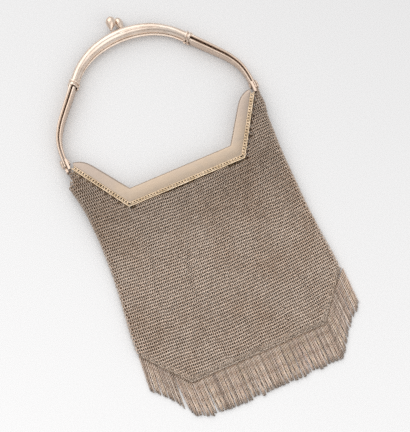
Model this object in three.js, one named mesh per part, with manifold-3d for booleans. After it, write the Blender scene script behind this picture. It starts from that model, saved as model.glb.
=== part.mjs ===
// A lady's evening purse of ring mesh on a metal frame, lying on its back.
// Millimetres, +Z up. X runs across the purse, +Y points to the clasp.
// While it is modelled, Y = 0 is the hinge axis and Z = 0 is the surface it lies on.

import * as THREE from 'three';
import { mergeVertices } from 'three/addons/utils/BufferGeometryUtils.js';
import Module from 'manifold-3d';

const wasm = await Module();
wasm.setup();

// Driving dimensions: frame
const HINGE_SPAN = 146; // between the middles of the two pairs of arms at the hinges
const HANDLE_RISE = 75.4; // hinge axis to the arch's middle line at its top
const FRAME_HALF_DEPTH = 5.6; // from the parting plane to the frame's front or back face
const PARTING_GAP = 0.4; // between the front and back halves of the closed frame
const ARCH_HALF_WIDTH = 4.0; // of the half tube, at the top of the arch
const COLLAR_HALF_WIDTH = 3.1; // of the half tube, at the collars
const COLLAR_HALF_DEPTH = 4.7; // of the half tube, at the collars
const ARCH_REACH = 52; // along the handle, from its top to the middle of a collar
const BEAD_RING_WIDTH = 1.6; // of one of the two bead rings of a collar
const BEAD_RING_PITCH = 2.7; // between the middles of the two rings
const BEAD_RING_RISE = 0.7; // by which a ring stands proud of the tube
const BACK_DROP = 1.5; // by which the back arch sits lower than the front one, at its top
const BACK_LEAN = 0.6; // by which the back arch leans to the left, at its top

// Driving dimensions: arms and hinges
const ARM_THICKNESS_TOP = 2.1;
const ARM_THICKNESS_HINGE = 1.6;
const ARM_GAP_TOP = 0.8; // between the outer and the inner arm, below the collar
const ARM_GAP_HINGE = 0.6;
const ARM_EDGE = 0.4; // chamfer along the arm's edges
const EYE_RADIUS = 3.7; // of the round end of each arm
const PIN_RADIUS = 1.3;
const PIN_CLEARANCE = 0.3;
const PIN_OUTER_HEAD_RADIUS = 3.6;
const PIN_OUTER_HEAD_THICKNESS = 1.6;
const PIN_INNER_HEAD_RADIUS = 2.5;
const PIN_INNER_HEAD_THICKNESS = 1.0;
const LUG_LENGTH = 6.4; // of the plate below the hinge that joins arm and jaw
const LUG_WIDTH = 3.6;

// Driving dimensions: jaws
const JAW_DROP = 46; // hinge axis to the foot of the smooth plate
const JAW_FOOT_HALF = 42.9; // half the length of the smooth plate's foot
const JAW_TIP_HALF = 68.6; // half the width over the plate's tips
const JAW_TIP_DROP = 5.2;
const JAW_STEP_DROP = 36; // hinge axis to the jaw's upper edge between the shoulders
const JAW_STEP_HALF = 38.6; // half the length of that edge
const JAW_SHEET = 1.0;
const JAW_ROUNDING = 2.0; // of the plate's edges
const RIM_WIDTH = 1.6; // of the pierced rim below the smooth plate
const RIM_SHEET = 0.8;
const RIM_STEP = 0.5; // by which the rim lies lower than the plate
const RIM_HOLE_LENGTH = 1.5;
const RIM_HOLE_WIDTH = 0.9;
const RIM_HOLE_PITCH = 3.25;
const ROD_RADIUS = 0.5;
const PIECE_GAP = 0.3; // between neighbouring pieces

// Driving dimensions: clasp
const FRONT_KNOB_RADIUS = 3.4;
const BACK_KNOB_RADIUS = 2.9;
const KNOB_LENGTH = 11.0; // foot to the top of the front knob
const KNOB_OFFSET = 3.1; // of each knob from the middle of the purse
const KNOB_FACE_OFFSET = 2.5; // of each knob from the parting plane

// Driving dimensions: bag
const BAG_HALF_WIDTH = 72.6; // at its waist
const BAG_TOP_DROP = 7.2; // hinge axis to the upper corners of the mesh
const HEM_SHOULDER_HALF = 76.5; // half the width where the corners are cut
const HEM_SHOULDER_DROP = 147;
const HEM_FOOT_HALF = 50.4; // half the width of the foot between the cut corners
const HEM_FOOT_DROP = 178.6;
const BAG_MOUTH_DEPTH = 10.9; // front to back at the jaws
const MESH_WALL = 1.2;
const BAG_SWAY = -3; // sideways shift of the foot, where the bag was laid down
const HEM_BAND_WIDTH = 3.0;
const HEM_BAND_DEPTH = 3.6;

// Driving dimensions: fringe
const FRINGE_LENGTH = 24.5;
const FRINGE_DEPTH = 2.4;
const FRINGE_HEAD = 1.8;
const LOCK_WIDTH = 2.5;
const LOCK_PITCH = 3.1;
const LOCK_DRIFT = 0.35; // by which a lock's tip strays sideways
const LOCK_UNEVENNESS = 0.75; // between the longest and the shortest lock

// Right half of the handle's middle line, as shares of half the span and of the rise.
const HANDLE_LINE = [
  { across: 0.0, up: 1.0 },
  { across: 0.178, up: 0.981 },
  { across: 0.342, up: 0.928 },
  { across: 0.493, up: 0.834 },
  { across: 0.616, up: 0.706 },
  { across: 0.712, up: 0.592 },
  { across: 0.803, up: 0.485 },
  { across: 0.901, up: 0.361 },
  { across: 0.964, up: 0.244 },
  { across: 0.99, up: 0.139 },
  { across: 1.0, up: 0.0 },
];

// Right shoulder of the jaw between its step and its tip. Across is the share of the way
// from the step's corner to the tip, down is the share of the step's drop.
const JAW_SHOULDER = [
  { across: 0.0, down: 1.0 },
  { across: 0.57, down: 0.3 },
  { across: 0.71, down: 0.17 },
  { across: 0.85, down: 0.1 },
  { across: 0.97, down: 0.083 },
];

// Half-width and depth of the bag. Down is 0 at its top corners, 1 at the hem's shoulders
// and 2 at its foot.
const BAG_SECTIONS = [
  { down: 0.0, width: 1.035, depth: 1.0 },
  { down: 0.07, width: 1.06, depth: 1.0 },
  { down: 0.15, width: 1.03, depth: 1.0 },
  { down: 0.24, width: 1.01, depth: 1.0 },
  { down: 0.31, width: 1.0, depth: 0.96 },
  { down: 0.4, width: 0.995, depth: 0.78 },
  { down: 0.52, width: 0.997, depth: 0.62 },
  { down: 0.66, width: 1.005, depth: 0.52 },
  { down: 0.8, width: 1.025, depth: 0.46 },
  { down: 0.92, width: 1.046, depth: 0.43 },
  { down: 1.0, width: 1.054, depth: 0.41 },
  { down: 1.44, width: 1.06, depth: 0.38 },
  { down: 2.05, width: 1.07, depth: 0.35 },
];

// Half of the bag's outline in section: across is a share of the half-width,
// back and front are heights as shares of the depth.
const BAG_PROFILE = [
  { across: 1.0, back: 0.36, front: 0.62 },
  { across: 0.988, back: 0.14, front: 0.84 },
  { across: 0.962, back: 0.03, front: 0.93 },
  { across: 0.92, back: 0.0, front: 0.97 },
  { across: 0.8, back: 0.0, front: 0.99 },
  { across: 0.6, back: 0.0, front: 1.0 },
  { across: 0.4, back: 0.0, front: 0.985 },
  { across: 0.2, back: 0.0, front: 1.0 },
  { across: 0.0, back: 0.0, front: 0.99 },
];

// Outline of a clasp knob from its foot to its top: both are shares, of the knob's
// radius and of its length.
const KNOB_PROFILE = [
  { radius: 0.0, height: 0.0 },
  { radius: 0.22, height: 0.0 },
  { radius: 0.3, height: 0.12 },
  { radius: 0.58, height: 0.34 },
  { radius: 0.9, height: 0.54 },
  { radius: 1.0, height: 0.69 },
  { radius: 0.9, height: 0.84 },
  { radius: 0.55, height: 0.96 },
  { radius: 0.0, height: 1.0 },
];

// Finishes
const frameMetal = new THREE.MeshStandardMaterial({ color: 0xc9b09c, roughness: 0.3, metalness: 1 });
const rodMetal = new THREE.MeshStandardMaterial({ color: 0xd6c39a, roughness: 0.35, metalness: 1 });
const meshMetal = new THREE.MeshStandardMaterial({ color: 0x9c8a7b, roughness: 0.4, metalness: 1 });
const hemMetal = new THREE.MeshStandardMaterial({ color: 0x8f8375, roughness: 0.45, metalness: 1 });
const fringeMetal = new THREE.MeshStandardMaterial({ color: 0xb09a88, roughness: 0.35, metalness: 1 });

// Places that several pieces share
const PARTING = FRAME_HALF_DEPTH;
const HALF_SPAN = HINGE_SPAN / 2;
const FRAME_TOP = 2 * FRAME_HALF_DEPTH;
const TONGUE_START = ARCH_REACH - BEAD_RING_PITCH;
const COLLAR_END = ARCH_REACH + BEAD_RING_PITCH / 2 + BEAD_RING_WIDTH / 2;
const ROD_OFFSET = RIM_WIDTH + PIECE_GAP + ROD_RADIUS;
const MOUTH_OFFSET = ROD_OFFSET + ROD_RADIUS + PIECE_GAP;
const FRONT = 1;
const BACK = -1;

const { lerp, smoothstep } = THREE.MathUtils;

function flipFaces(indices) {
  for (let i = 0; i < indices.length; i += 3) {
    [indices[i + 1], indices[i + 2]] = [indices[i + 2], indices[i + 1]];
  }
}

function signedVolume(positions, indices) {
  const [a, b, c] = [new THREE.Vector3(), new THREE.Vector3(), new THREE.Vector3()];
  let volume = 0;
  for (let i = 0; i < indices.length; i += 3) {
    a.fromArray(positions, 3 * indices[i]);
    b.fromArray(positions, 3 * indices[i + 1]);
    c.fromArray(positions, 3 * indices[i + 2]);
    volume += a.dot(b.cross(c)) / 6;
  }
  return volume;
}

// A closed body through rings of points that all run the same way round.
// The two ends are closed rung by rung, from the ring's first and last points inwards.
function loft(rings) {
  const count = rings[0].length;
  const positions = rings.flat().flatMap((point) => point.toArray());
  const indices = [];
  for (let ring = 0; ring < rings.length - 1; ring++) {
    for (let i = 0; i < count; i++) {
      const a = ring * count + i;
      const b = ring * count + ((i + 1) % count);
      indices.push(a, b, b + count, a, b + count, a + count);
    }
  }
  const last = (rings.length - 1) * count;
  for (let i = 0; i + 1 < count - 1 - i; i++) {
    const j = count - 1 - i;
    indices.push(i, j, i + 1, last + i, last + i + 1, last + j);
    if (j - 1 > i + 1) {
      indices.push(j, j - 1, i + 1, last + j, last + i + 1, last + j - 1);
    }
  }
  if (signedVolume(positions, indices) < 0) {
    flipFaces(indices);
  }
  const geometry = new THREE.BufferGeometry();
  geometry.setAttribute('position', new THREE.Float32BufferAttribute(positions, 3));
  geometry.setIndex(indices);
  return geometry;
}

function toSolid(geometry) {
  const bare = geometry.clone();
  bare.deleteAttribute('normal');
  bare.deleteAttribute('uv');
  const merged = mergeVertices(bare, 1e-4);
  const mesh = new wasm.Mesh({
    numProp: 3,
    vertProperties: new Float32Array(merged.attributes.position.array),
    triVerts: new Uint32Array(merged.index.array),
  });
  return new wasm.Manifold(mesh);
}

function toGeometry(solid) {
  const { vertProperties, triVerts } = solid.getMesh();
  const geometry = new THREE.BufferGeometry();
  geometry.setAttribute('position', new THREE.Float32BufferAttribute(vertProperties, 3));
  geometry.setIndex([...triVerts]);
  geometry.computeVertexNormals();
  return geometry;
}

const join = (geometries) => geometries.map(toSolid).reduce((whole, part) => whole.add(part));

// A flat outline in X and Y, raised between two heights.
function prism(points, low, high) {
  const shape = new THREE.Shape(points);
  const geometry = new THREE.ExtrudeGeometry(shape, { depth: high - low, bevelEnabled: false });
  return geometry.translate(0, 0, low);
}

function block(low, high) {
  const size = new THREE.Vector3().subVectors(high, low);
  const middle = new THREE.Vector3().addVectors(low, high).divideScalar(2);
  return new THREE.BoxGeometry(...size).translate(...middle);
}

const vector = (x, y, z) => new THREE.Vector3(x, y, z);
const point2 = (x, y) => new THREE.Vector2(x, y);

// The right half of an outline, preceded by its mirror image.
function mirrored(rightHalf) {
  const left = rightHalf.map((point) => point2(-point.x, point.y)).reverse();
  return [...left, ...rightHalf];
}

// Handle: the path and its two halves
const handleCurve = new THREE.CatmullRomCurve3(
  [
    ...HANDLE_LINE.slice(1).map((row) => vector(-row.across * HALF_SPAN, row.up * HANDLE_RISE, 0)).reverse(),
    ...HANDLE_LINE.map((row) => vector(row.across * HALF_SPAN, row.up * HANDLE_RISE, 0)),
  ],
  false,
  'centripetal',
);
handleCurve.arcLengthDivisions = 800;
const HANDLE_HALF_LENGTH = handleCurve.getLength() / 2;

// The place on the handle at a distance from its top, positive to the right, with the
// direction that points away from the loop. The back half sits lower and leans left.
function onHandle(distance, half) {
  const share = THREE.MathUtils.clamp(0.5 + distance / (2 * HANDLE_HALF_LENGTH), 0, 1);
  const point = handleCurve.getPointAt(share);
  const tangent = handleCurve.getTangentAt(share);
  const outward = point2(-tangent.y, tangent.x);
  if (half === BACK) {
    const height = point.y / HANDLE_RISE;
    point.x -= BACK_LEAN * height;
    point.y -= BACK_DROP * height;
  }
  return { point, outward };
}

// A bar along the handle. The section's side is measured away from the loop and its
// rise from the parting plane to the front.
function alongHandle(from, to, steps, half, sectionAt) {
  const rings = [];
  for (let step = 0; step <= steps; step++) {
    const distance = lerp(from, to, step / steps);
    const { point, outward } = onHandle(distance, half);
    const ring = sectionAt(Math.abs(distance)).map(({ side, rise }) =>
      vector(point.x + outward.x * side, point.y + outward.y * side, PARTING + rise),
    );
    rings.push(ring);
  }
  return loft(rings);
}

// Half of a tube that is deeper than wide, cut along its flat side. The power below 1
// makes its round a little square.
function halfTube(halfWidth, halfDepth, half) {
  const segments = 8;
  const squareness = 0.8;
  const points = [];
  for (let i = 0; i <= segments; i++) {
    const angle = (Math.PI * i) / segments;
    const side = halfWidth * Math.sign(Math.cos(angle)) * Math.abs(Math.cos(angle)) ** squareness;
    const depth = (halfDepth - PARTING_GAP / 2) * Math.sin(angle) ** squareness;
    points.push({ side, rise: half * (PARTING_GAP / 2 + depth) });
  }
  return points;
}

function archSection(distance, half, proud = 0) {
  const share = smoothstep(distance, 0, ARCH_REACH);
  const halfWidth = lerp(ARCH_HALF_WIDTH, COLLAR_HALF_WIDTH, share);
  const halfDepth = lerp(FRAME_HALF_DEPTH, COLLAR_HALF_DEPTH, share);
  return halfTube(halfWidth + proud, halfDepth + proud, half);
}

function arch(half) {
  const steps = 26;
  return alongHandle(-COLLAR_END, COLLAR_END, steps, half, (distance) => archSection(distance, half));
}

function beadRing(middle, half) {
  const steps = 4;
  const roundness = 0.8;
  const from = middle - BEAD_RING_WIDTH / 2;
  const to = middle + BEAD_RING_WIDTH / 2;
  return alongHandle(from, to, steps, half, (distance) => {
    const offset = (distance - Math.abs(middle)) / (BEAD_RING_WIDTH / 2);
    const proud = BEAD_RING_RISE * Math.sqrt(1 - roundness * offset * offset);
    return archSection(distance, half, proud);
  });
}

function collars(half) {
  const rings = [];
  for (const side of [-1, 1]) {
    for (const place of [-0.5, 0.5]) {
      rings.push(beadRing(side * (ARCH_REACH + place * BEAD_RING_PITCH), half));
    }
  }
  return rings;
}

// Arms: flat bars on edge. The front half's arms run outside those of the back half.
function armReach(share) {
  const gap = lerp(ARM_GAP_TOP, ARM_GAP_HINGE, share);
  const thickness = lerp(ARM_THICKNESS_TOP, ARM_THICKNESS_HINGE, share);
  return { near: gap / 2, far: gap / 2 + thickness };
}

function armSection(distance, half, low, high) {
  const share = (distance - ARCH_REACH) / (HANDLE_HALF_LENGTH - ARCH_REACH);
  const depth = lerp(COLLAR_HALF_DEPTH, EYE_RADIUS, smoothstep(share, 0, 1));
  const { near, far } = armReach(share);
  const rises = { bottom: low * depth, top: high * depth };
  const corners = [
    { side: near, rise: rises.bottom + ARM_EDGE },
    { side: near + ARM_EDGE, rise: rises.bottom },
    { side: far - ARM_EDGE, rise: rises.bottom },
    { side: far, rise: rises.bottom + ARM_EDGE },
    { side: far, rise: rises.top - ARM_EDGE },
    { side: far - ARM_EDGE, rise: rises.top },
    { side: near + ARM_EDGE, rise: rises.top },
    { side: near, rise: rises.top - ARM_EDGE },
  ];
  return corners.map(({ side, rise }) => ({ side: half * side, rise }));
}

function arm(direction, half) {
  const steps = 14;
  const start = COLLAR_END + PARTING_GAP + (half === FRONT ? BACK_DROP : 0);
  const whole = alongHandle(
    direction * start,
    direction * HANDLE_HALF_LENGTH,
    steps,
    half,
    (distance) => armSection(distance, half, -1, 1),
  );
  const clear = PARTING_GAP / (2 * COLLAR_HALF_DEPTH);
  const tongueReach = 0.9;
  const [low, high] = half === FRONT ? [clear, tongueReach] : [-tongueReach, -clear];
  const tongue = alongHandle(
    direction * TONGUE_START,
    direction * (start + 1),
    3,
    half,
    (distance) => armSection(distance, half, low, high),
  );
  return [whole, tongue];
}

// A round bar along X between two distances from the middle, on the hinge axis.
function hingeDisc(direction, near, far, radius, sides = 16) {
  const disc = new THREE.CylinderGeometry(radius, radius, far - near, sides);
  disc.rotateZ(Math.PI / 2);
  return disc.translate((direction * (near + far)) / 2, 0, PARTING);
}

function armAtHinge(half) {
  const { near, far } = armReach(1);
  return half === FRONT
    ? { near: HALF_SPAN + near, far: HALF_SPAN + far }
    : { near: HALF_SPAN - far, far: HALF_SPAN - near };
}

// The eye round the pin and the plate below it that carries the jaw. The outer arms
// carry the back jaw and the inner arms the front jaw, so the frame opens like scissors.
function hingeEnd(direction, half) {
  const { near, far } = armAtHinge(half);
  const jawSide = -half;
  const face = PARTING + jawSide * FRAME_HALF_DEPTH;
  const sheet = face - jawSide * JAW_SHEET;
  const lugInner = JAW_TIP_HALF - JAW_SHEET;
  const eye = hingeDisc(direction, near, far, EYE_RADIUS);
  const xs = [direction * near, direction * far];
  const neck = block(
    vector(Math.min(...xs), -LUG_LENGTH, Math.min(PARTING, face)),
    vector(Math.max(...xs), 0, Math.max(PARTING, face)),
  );
  const lugXs = [direction * lugInner, direction * far];
  const lug = block(
    vector(Math.min(...lugXs), -LUG_LENGTH, Math.min(sheet, face)),
    vector(Math.max(...lugXs), -LUG_LENGTH + LUG_WIDTH, Math.max(sheet, face)),
  );
  return [eye, neck, lug];
}

// Jaws: a smooth plate with a rounded edge, its pierced rim and the flange that meets
// the other jaw at the parting plane.
const plateTip = point2(JAW_TIP_HALF, -JAW_TIP_DROP);
const plateFoot = point2(JAW_FOOT_HALF, -JAW_DROP);

function jawShoulder(inset) {
  const step = point2(JAW_STEP_HALF, -JAW_STEP_DROP);
  const line = JAW_SHOULDER.map((row) =>
    point2(lerp(step.x, JAW_TIP_HALF, row.across), -row.down * JAW_STEP_DROP),
  );
  return line.map((point, i) => {
    const before = line[Math.max(i - 1, 0)];
    const after = line[Math.min(i + 1, line.length - 1)];
    const onward = after.clone().sub(before);
    const along = i === 0 ? onward.normalize().add(point2(1, 0)) : onward;
    along.normalize();
    return point2(point.x + along.y * inset, point.y - along.x * inset);
  });
}

// The line at a distance outside the smooth plate's foot and sides, right half.
function jawLine(offset) {
  const along = plateTip.clone().sub(plateFoot).normalize();
  const outward = point2(along.y, -along.x);
  const tip = plateTip.clone().addScaledVector(outward, offset);
  const footY = -JAW_DROP - offset;
  const foot = point2(tip.x + ((footY - tip.y) * along.x) / along.y, footY);
  return [foot, tip];
}

function jawPlate() {
  const inner = jawShoulder(JAW_ROUNDING / 2);
  const [foot, tip] = jawLine(-JAW_ROUNDING / 2);
  const right = [...inner, tip, foot];
  const outline = [...right, ...right.map((point) => point2(-point.x, point.y)).reverse()];
  const shape = new THREE.Shape(outline);
  const depth = FRAME_HALF_DEPTH - PARTING_GAP / 2 - JAW_ROUNDING;
  const geometry = new THREE.ExtrudeGeometry(shape, {
    depth: depth + JAW_ROUNDING,
    bevelEnabled: true,
    bevelThickness: JAW_ROUNDING,
    bevelSize: JAW_ROUNDING / 2,
    bevelSegments: 3,
  });
  const room = 100;
  const below = block(
    vector(-room, -room, -room),
    vector(room, room, PARTING + PARTING_GAP / 2),
  );
  geometry.translate(0, 0, FRAME_TOP - depth - 2 * JAW_ROUNDING);
  return toSolid(geometry).subtract(toSolid(below));
}

function jawHollow() {
  const inner = jawShoulder(JAW_SHEET + JAW_ROUNDING / 2);
  const [foot, tip] = jawLine(2 * JAW_ROUNDING);
  const right = [...inner, tip, foot];
  const outline = [...right, ...right.map((point) => point2(-point.x, point.y)).reverse()];
  return toSolid(prism(outline, 0, FRAME_TOP - JAW_SHEET));
}

// Rows of oblong holes along the rim's foot and sides.
function rimHoles() {
  const [foot, tip] = jawLine(RIM_WIDTH / 2);
  const corners = mirrored([foot, tip]);
  const holes = [];
  for (let leg = 0; leg < corners.length - 1; leg++) {
    const [from, to] = [corners[leg], corners[leg + 1]];
    const along = to.clone().sub(from);
    const length = along.length();
    along.normalize();
    const across = point2(-along.y, along.x);
    const count = Math.floor((length - RIM_HOLE_PITCH) / RIM_HOLE_PITCH);
    for (let i = 0; i < count; i++) {
      const middle = from.clone().addScaledVector(along, length / 2 + (i - (count - 1) / 2) * RIM_HOLE_PITCH);
      const corner = (a, b) =>
        middle
          .clone()
          .addScaledVector(along, (a * RIM_HOLE_LENGTH) / 2)
          .addScaledVector(across, (b * RIM_HOLE_WIDTH) / 2);
      holes.push([corner(-1, -1), corner(1, -1), corner(1, 1), corner(-1, 1)]);
    }
  }
  return holes;
}

function jawRim() {
  const outer = mirrored(jawLine(RIM_WIDTH));
  const inner = mirrored(jawLine(-JAW_SHEET)).reverse();
  const high = FRAME_TOP - RIM_STEP;
  const band = toSolid(prism([...outer, ...inner], high - RIM_SHEET, high));
  return band.subtract(join(rimHoles().map((hole) => prism(hole, PARTING, FRAME_TOP))));
}

function jaw(side) {
  const solid = jawPlate().subtract(jawHollow()).add(jawRim());
  if (side === FRONT) {
    return solid;
  }
  const geometry = toGeometry(solid);
  geometry.translate(0, 0, -PARTING).rotateY(Math.PI).translate(0, 0, PARTING);
  return toSolid(geometry);
}

function frameHalf(name, half) {
  const pieces = [arch(half), ...collars(half)];
  for (const direction of [-1, 1]) {
    pieces.push(...arm(direction, half), ...hingeEnd(direction, half));
  }
  let solid = join(pieces).add(jaw(-half));
  for (const direction of [-1, 1]) {
    const { near, far } = armAtHinge(half);
    const bore = hingeDisc(direction, near - PIECE_GAP, far + PIECE_GAP, PIN_RADIUS + PIN_CLEARANCE, 12);
    solid = solid.subtract(toSolid(bore));
  }
  return named(name, toGeometry(solid), frameMetal);
}

function named(name, geometry, material) {
  const mesh = new THREE.Mesh(geometry, material);
  mesh.name = name;
  return mesh;
}

// Hinge pins, with the larger head outside
function hingePin(name, direction) {
  const outerFace = armAtHinge(FRONT).far + PIECE_GAP;
  const innerFace = armAtHinge(BACK).near - PIECE_GAP;
  const solid = join([
    hingeDisc(direction, innerFace - PIN_INNER_HEAD_THICKNESS, innerFace, PIN_INNER_HEAD_RADIUS),
    hingeDisc(direction, innerFace - PIN_INNER_HEAD_THICKNESS / 2, outerFace + PIECE_GAP, PIN_RADIUS, 12),
    hingeDisc(direction, outerFace, outerFace + PIN_OUTER_HEAD_THICKNESS, PIN_OUTER_HEAD_RADIUS),
  ]);
  return named(name, toGeometry(solid), frameMetal);
}

// The two balls of the kiss clasp. Each stands on its own half of the arch.
function knob(name, side, half, radius, length) {
  const profile = KNOB_PROFILE.map((row) => point2(row.radius * radius, row.height * length));
  const geometry = new THREE.LatheGeometry(profile, 14);
  const { point } = onHandle(0, half);
  const foot = point.y + ARCH_HALF_WIDTH + PIECE_GAP;
  const rise = half * KNOB_FACE_OFFSET;
  const mesh = named(name, mergeVertices(stripped(geometry), 1e-4), frameMetal);
  mesh.position.set(side * KNOB_OFFSET, foot, PARTING + rise);
  return mesh;
}

function stripped(geometry) {
  geometry.deleteAttribute('normal');
  geometry.deleteAttribute('uv');
  return geometry;
}

// Rod along the rim that laces the mesh to the jaw
function jawRod(name, side) {
  const rimMiddle = FRAME_HALF_DEPTH - RIM_STEP - RIM_SHEET / 2;
  const height = PARTING + side * rimMiddle;
  const [foot, tip] = jawLine(ROD_OFFSET);
  const endDrop = LUG_LENGTH + PIECE_GAP + ROD_RADIUS;
  const end = tip.clone().lerp(foot, (tip.y + endDrop) / (tip.y - foot.y));
  const corners = mirrored([foot, end]);
  const sides = 8;
  const rings = corners.map((corner, i) => {
    const before = corners[Math.max(i - 1, 0)];
    const after = corners[Math.min(i + 1, corners.length - 1)];
    const into = i === 0 ? after.clone().sub(corner) : corner.clone().sub(before);
    const outOf = i === corners.length - 1 ? into.clone() : after.clone().sub(corner);
    const along = into.normalize().add(outOf.normalize()).normalize();
    const miter = 1 / Math.abs(along.dot(into));
    const ring = [];
    for (let k = 0; k < sides; k++) {
      const angle = (2 * Math.PI * (k + 0.5)) / sides;
      const across = ROD_RADIUS * Math.cos(angle) * miter;
      const rise = ROD_RADIUS * Math.sin(angle);
      ring.push(vector(corner.x - along.y * across, corner.y + along.x * across, height + rise));
    }
    return ring;
  });
  return named(name, loft(rings), rodMetal);
}

// Bag
function swayAt(y) {
  const share = (-y - JAW_DROP) / (HEM_FOOT_DROP - JAW_DROP);
  return BAG_SWAY * THREE.MathUtils.clamp(share, 0, 1.2);
}

function swayed(geometry) {
  const place = geometry.attributes.position;
  for (let i = 0; i < place.count; i++) {
    place.setX(i, place.getX(i) + swayAt(place.getY(i)));
  }
  return geometry;
}

function sectionDrop(down) {
  const upper = lerp(BAG_TOP_DROP, HEM_SHOULDER_DROP, Math.min(down, 1));
  return upper + Math.max(down - 1, 0) * (HEM_FOOT_DROP - HEM_SHOULDER_DROP);
}

function bagBody(wall, extraTop) {
  const rings = BAG_SECTIONS.map((row, i) => {
    const y = (i === 0 ? extraTop : 0) - sectionDrop(row.down);
    const halfWidth = row.width * BAG_HALF_WIDTH - wall;
    const depth = row.depth * BAG_MOUTH_DEPTH;
    const height = (share) => wall + share * (depth - 2 * wall);
    const back = BAG_PROFILE.map((corner) => vector(corner.across * halfWidth, y, height(corner.back)));
    const front = BAG_PROFILE.map((corner) => vector(corner.across * halfWidth, y, height(corner.front)));
    const flip = (corner) => vector(-corner.x, corner.y, corner.z);
    const lower = [...back.slice(0, -1).map(flip), ...back.slice().reverse()];
    const upper = [...front, ...front.slice(0, -1).reverse().map(flip)];
    return [...lower, ...upper];
  });
  return toSolid(loft(rings));
}

// Outline of the foot with its cut corners, drawn in by an inset, from high above the bag.
function hemOutline(inset) {
  const slope = point2(HEM_FOOT_HALF - HEM_SHOULDER_HALF, HEM_SHOULDER_DROP - HEM_FOOT_DROP).normalize();
  const turn = (1 - Math.abs(slope.x)) / Math.abs(slope.y);
  const footHalf = HEM_FOOT_HALF - inset * turn;
  const footY = -HEM_FOOT_DROP + inset;
  const wide = HEM_SHOULDER_HALF + HEM_BAND_WIDTH;
  const shoulderY = footY + ((wide - footHalf) * slope.y) / slope.x;
  return mirrored([point2(footHalf, footY), point2(wide, shoulderY)]);
}

function meshBag() {
  const room = 2 * BAG_MOUTH_DEPTH;
  const above = (inset) => [
    ...hemOutline(inset),
    point2(HEM_SHOULDER_HALF + HEM_BAND_WIDTH, BAG_TOP_DROP),
    point2(-HEM_SHOULDER_HALF - HEM_BAND_WIDTH, BAG_TOP_DROP),
  ];
  const edge = HEM_BAND_WIDTH + PIECE_GAP;
  const outerCut = toSolid(prism(above(edge), -room, room));
  const innerCut = toSolid(prism(above(edge + MESH_WALL), -room, room));
  const outer = bagBody(0, 0).intersect(outerCut);
  const inner = bagBody(MESH_WALL, LUG_LENGTH).intersect(innerCut);
  const [foot, tip] = jawLine(MOUTH_OFFSET);
  const mouthRight = [foot, tip, point2(tip.x, 0)];
  const mouth = toSolid(prism(mirrored(mouthRight), -room, room));
  const solid = outer.subtract(inner).subtract(mouth);
  return named('mesh_bag', swayed(toGeometry(solid)), meshMetal);
}

function hemBand() {
  const outer = hemOutline(0);
  const inner = hemOutline(HEM_BAND_WIDTH);
  const shoulder = HEM_SHOULDER_DROP - HEM_BAND_WIDTH / 2;
  const band = toSolid(prism([...outer, ...inner.reverse()], 0, HEM_BAND_DEPTH));
  const side = HEM_SHOULDER_HALF;
  const keep = block(
    vector(-side, -HEM_FOOT_DROP - 1, -1),
    vector(side, -shoulder, HEM_BAND_DEPTH + 1),
  );
  return named('hem_band', swayed(toGeometry(band.intersect(toSolid(keep)))), hemMetal);
}

// Fringe: locks that hang straight down from a head along the hem
function hemDropAt(x) {
  const share = (Math.abs(x) - HEM_FOOT_HALF) / (HEM_SHOULDER_HALF - HEM_FOOT_HALF);
  return lerp(HEM_FOOT_DROP, HEM_SHOULDER_DROP, THREE.MathUtils.clamp(share, 0, 1));
}

function fringeLock(x, index) {
  const half = LOCK_WIDTH / 2;
  const root = -Math.max(hemDropAt(x - half), hemDropAt(x + half)) - PIECE_GAP;
  const foot = LOCK_UNEVENNESS * Math.abs(Math.sin(2.7 * index)) - hemDropAt(x) - FRINGE_LENGTH;
  const bends = 2;
  const rings = [];
  for (let bend = 0; bend <= bends; bend++) {
    const share = bend / bends;
    const y = lerp(root - FRINGE_HEAD / 2, foot, share);
    const drift = LOCK_DRIFT * (Math.sin(0.55 * index) * share + Math.sin(Math.PI * share));
    rings.push([
      vector(x + drift - half, y, 0),
      vector(x + drift + half, y, 0),
      vector(x + drift + half, y, FRINGE_DEPTH),
      vector(x + drift - half, y, FRINGE_DEPTH),
    ]);
  }
  return loft(rings);
}

function fringe(name, from, to) {
  const count = Math.floor((to - from) / LOCK_PITCH);
  const start = (from + to) / 2 - ((count - 1) * LOCK_PITCH) / 2;
  const locks = [];
  for (let i = 0; i < count; i++) {
    locks.push(fringeLock(start + i * LOCK_PITCH, i));
  }
  const ends = [from + PIECE_GAP / 2, to - PIECE_GAP / 2];
  const upper = ends.map((x) => point2(x, -hemDropAt(x) - PIECE_GAP));
  const steepness = upper[0].distanceTo(upper[1]) / (ends[1] - ends[0]);
  const lower = upper.map((corner) => point2(corner.x, corner.y - FRINGE_HEAD * steepness));
  const head = prism([...lower, ...upper.reverse()], 0, FRINGE_DEPTH);
  return named(name, swayed(toGeometry(join([head, ...locks]))), fringeMetal);
}

// The whole purse, set down with the middle of its footprint at the origin
const purse = new THREE.Group();
purse.add(
  frameHalf('frame_front', FRONT),
  frameHalf('frame_back', BACK),
  hingePin('hinge_pin_left', -1),
  hingePin('hinge_pin_right', 1),
  knob('clasp_knob_front', -1, FRONT, FRONT_KNOB_RADIUS, KNOB_LENGTH),
  knob('clasp_knob_back', 1, BACK, BACK_KNOB_RADIUS, KNOB_LENGTH),
  jawRod('jaw_rod_front', FRONT),
  jawRod('jaw_rod_back', BACK),
  meshBag(),
  hemBand(),
  fringe('fringe_left', -HEM_SHOULDER_HALF, -HEM_FOOT_HALF),
  fringe('fringe_bottom', -HEM_FOOT_HALF, HEM_FOOT_HALF),
  fringe('fringe_right', HEM_FOOT_HALF, HEM_SHOULDER_HALF),
);

const footprint = new THREE.Box3().setFromObject(purse);
const middle = footprint.getCenter(new THREE.Vector3());
purse.position.set(-middle.x, -middle.y, -footprint.min.z);
purse.updateMatrixWorld(true);

export default purse;
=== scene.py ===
"""Evening purse of ring mesh with a chain fringe, under an arched scissor frame, lying on its back."""

from __future__ import annotations

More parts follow.
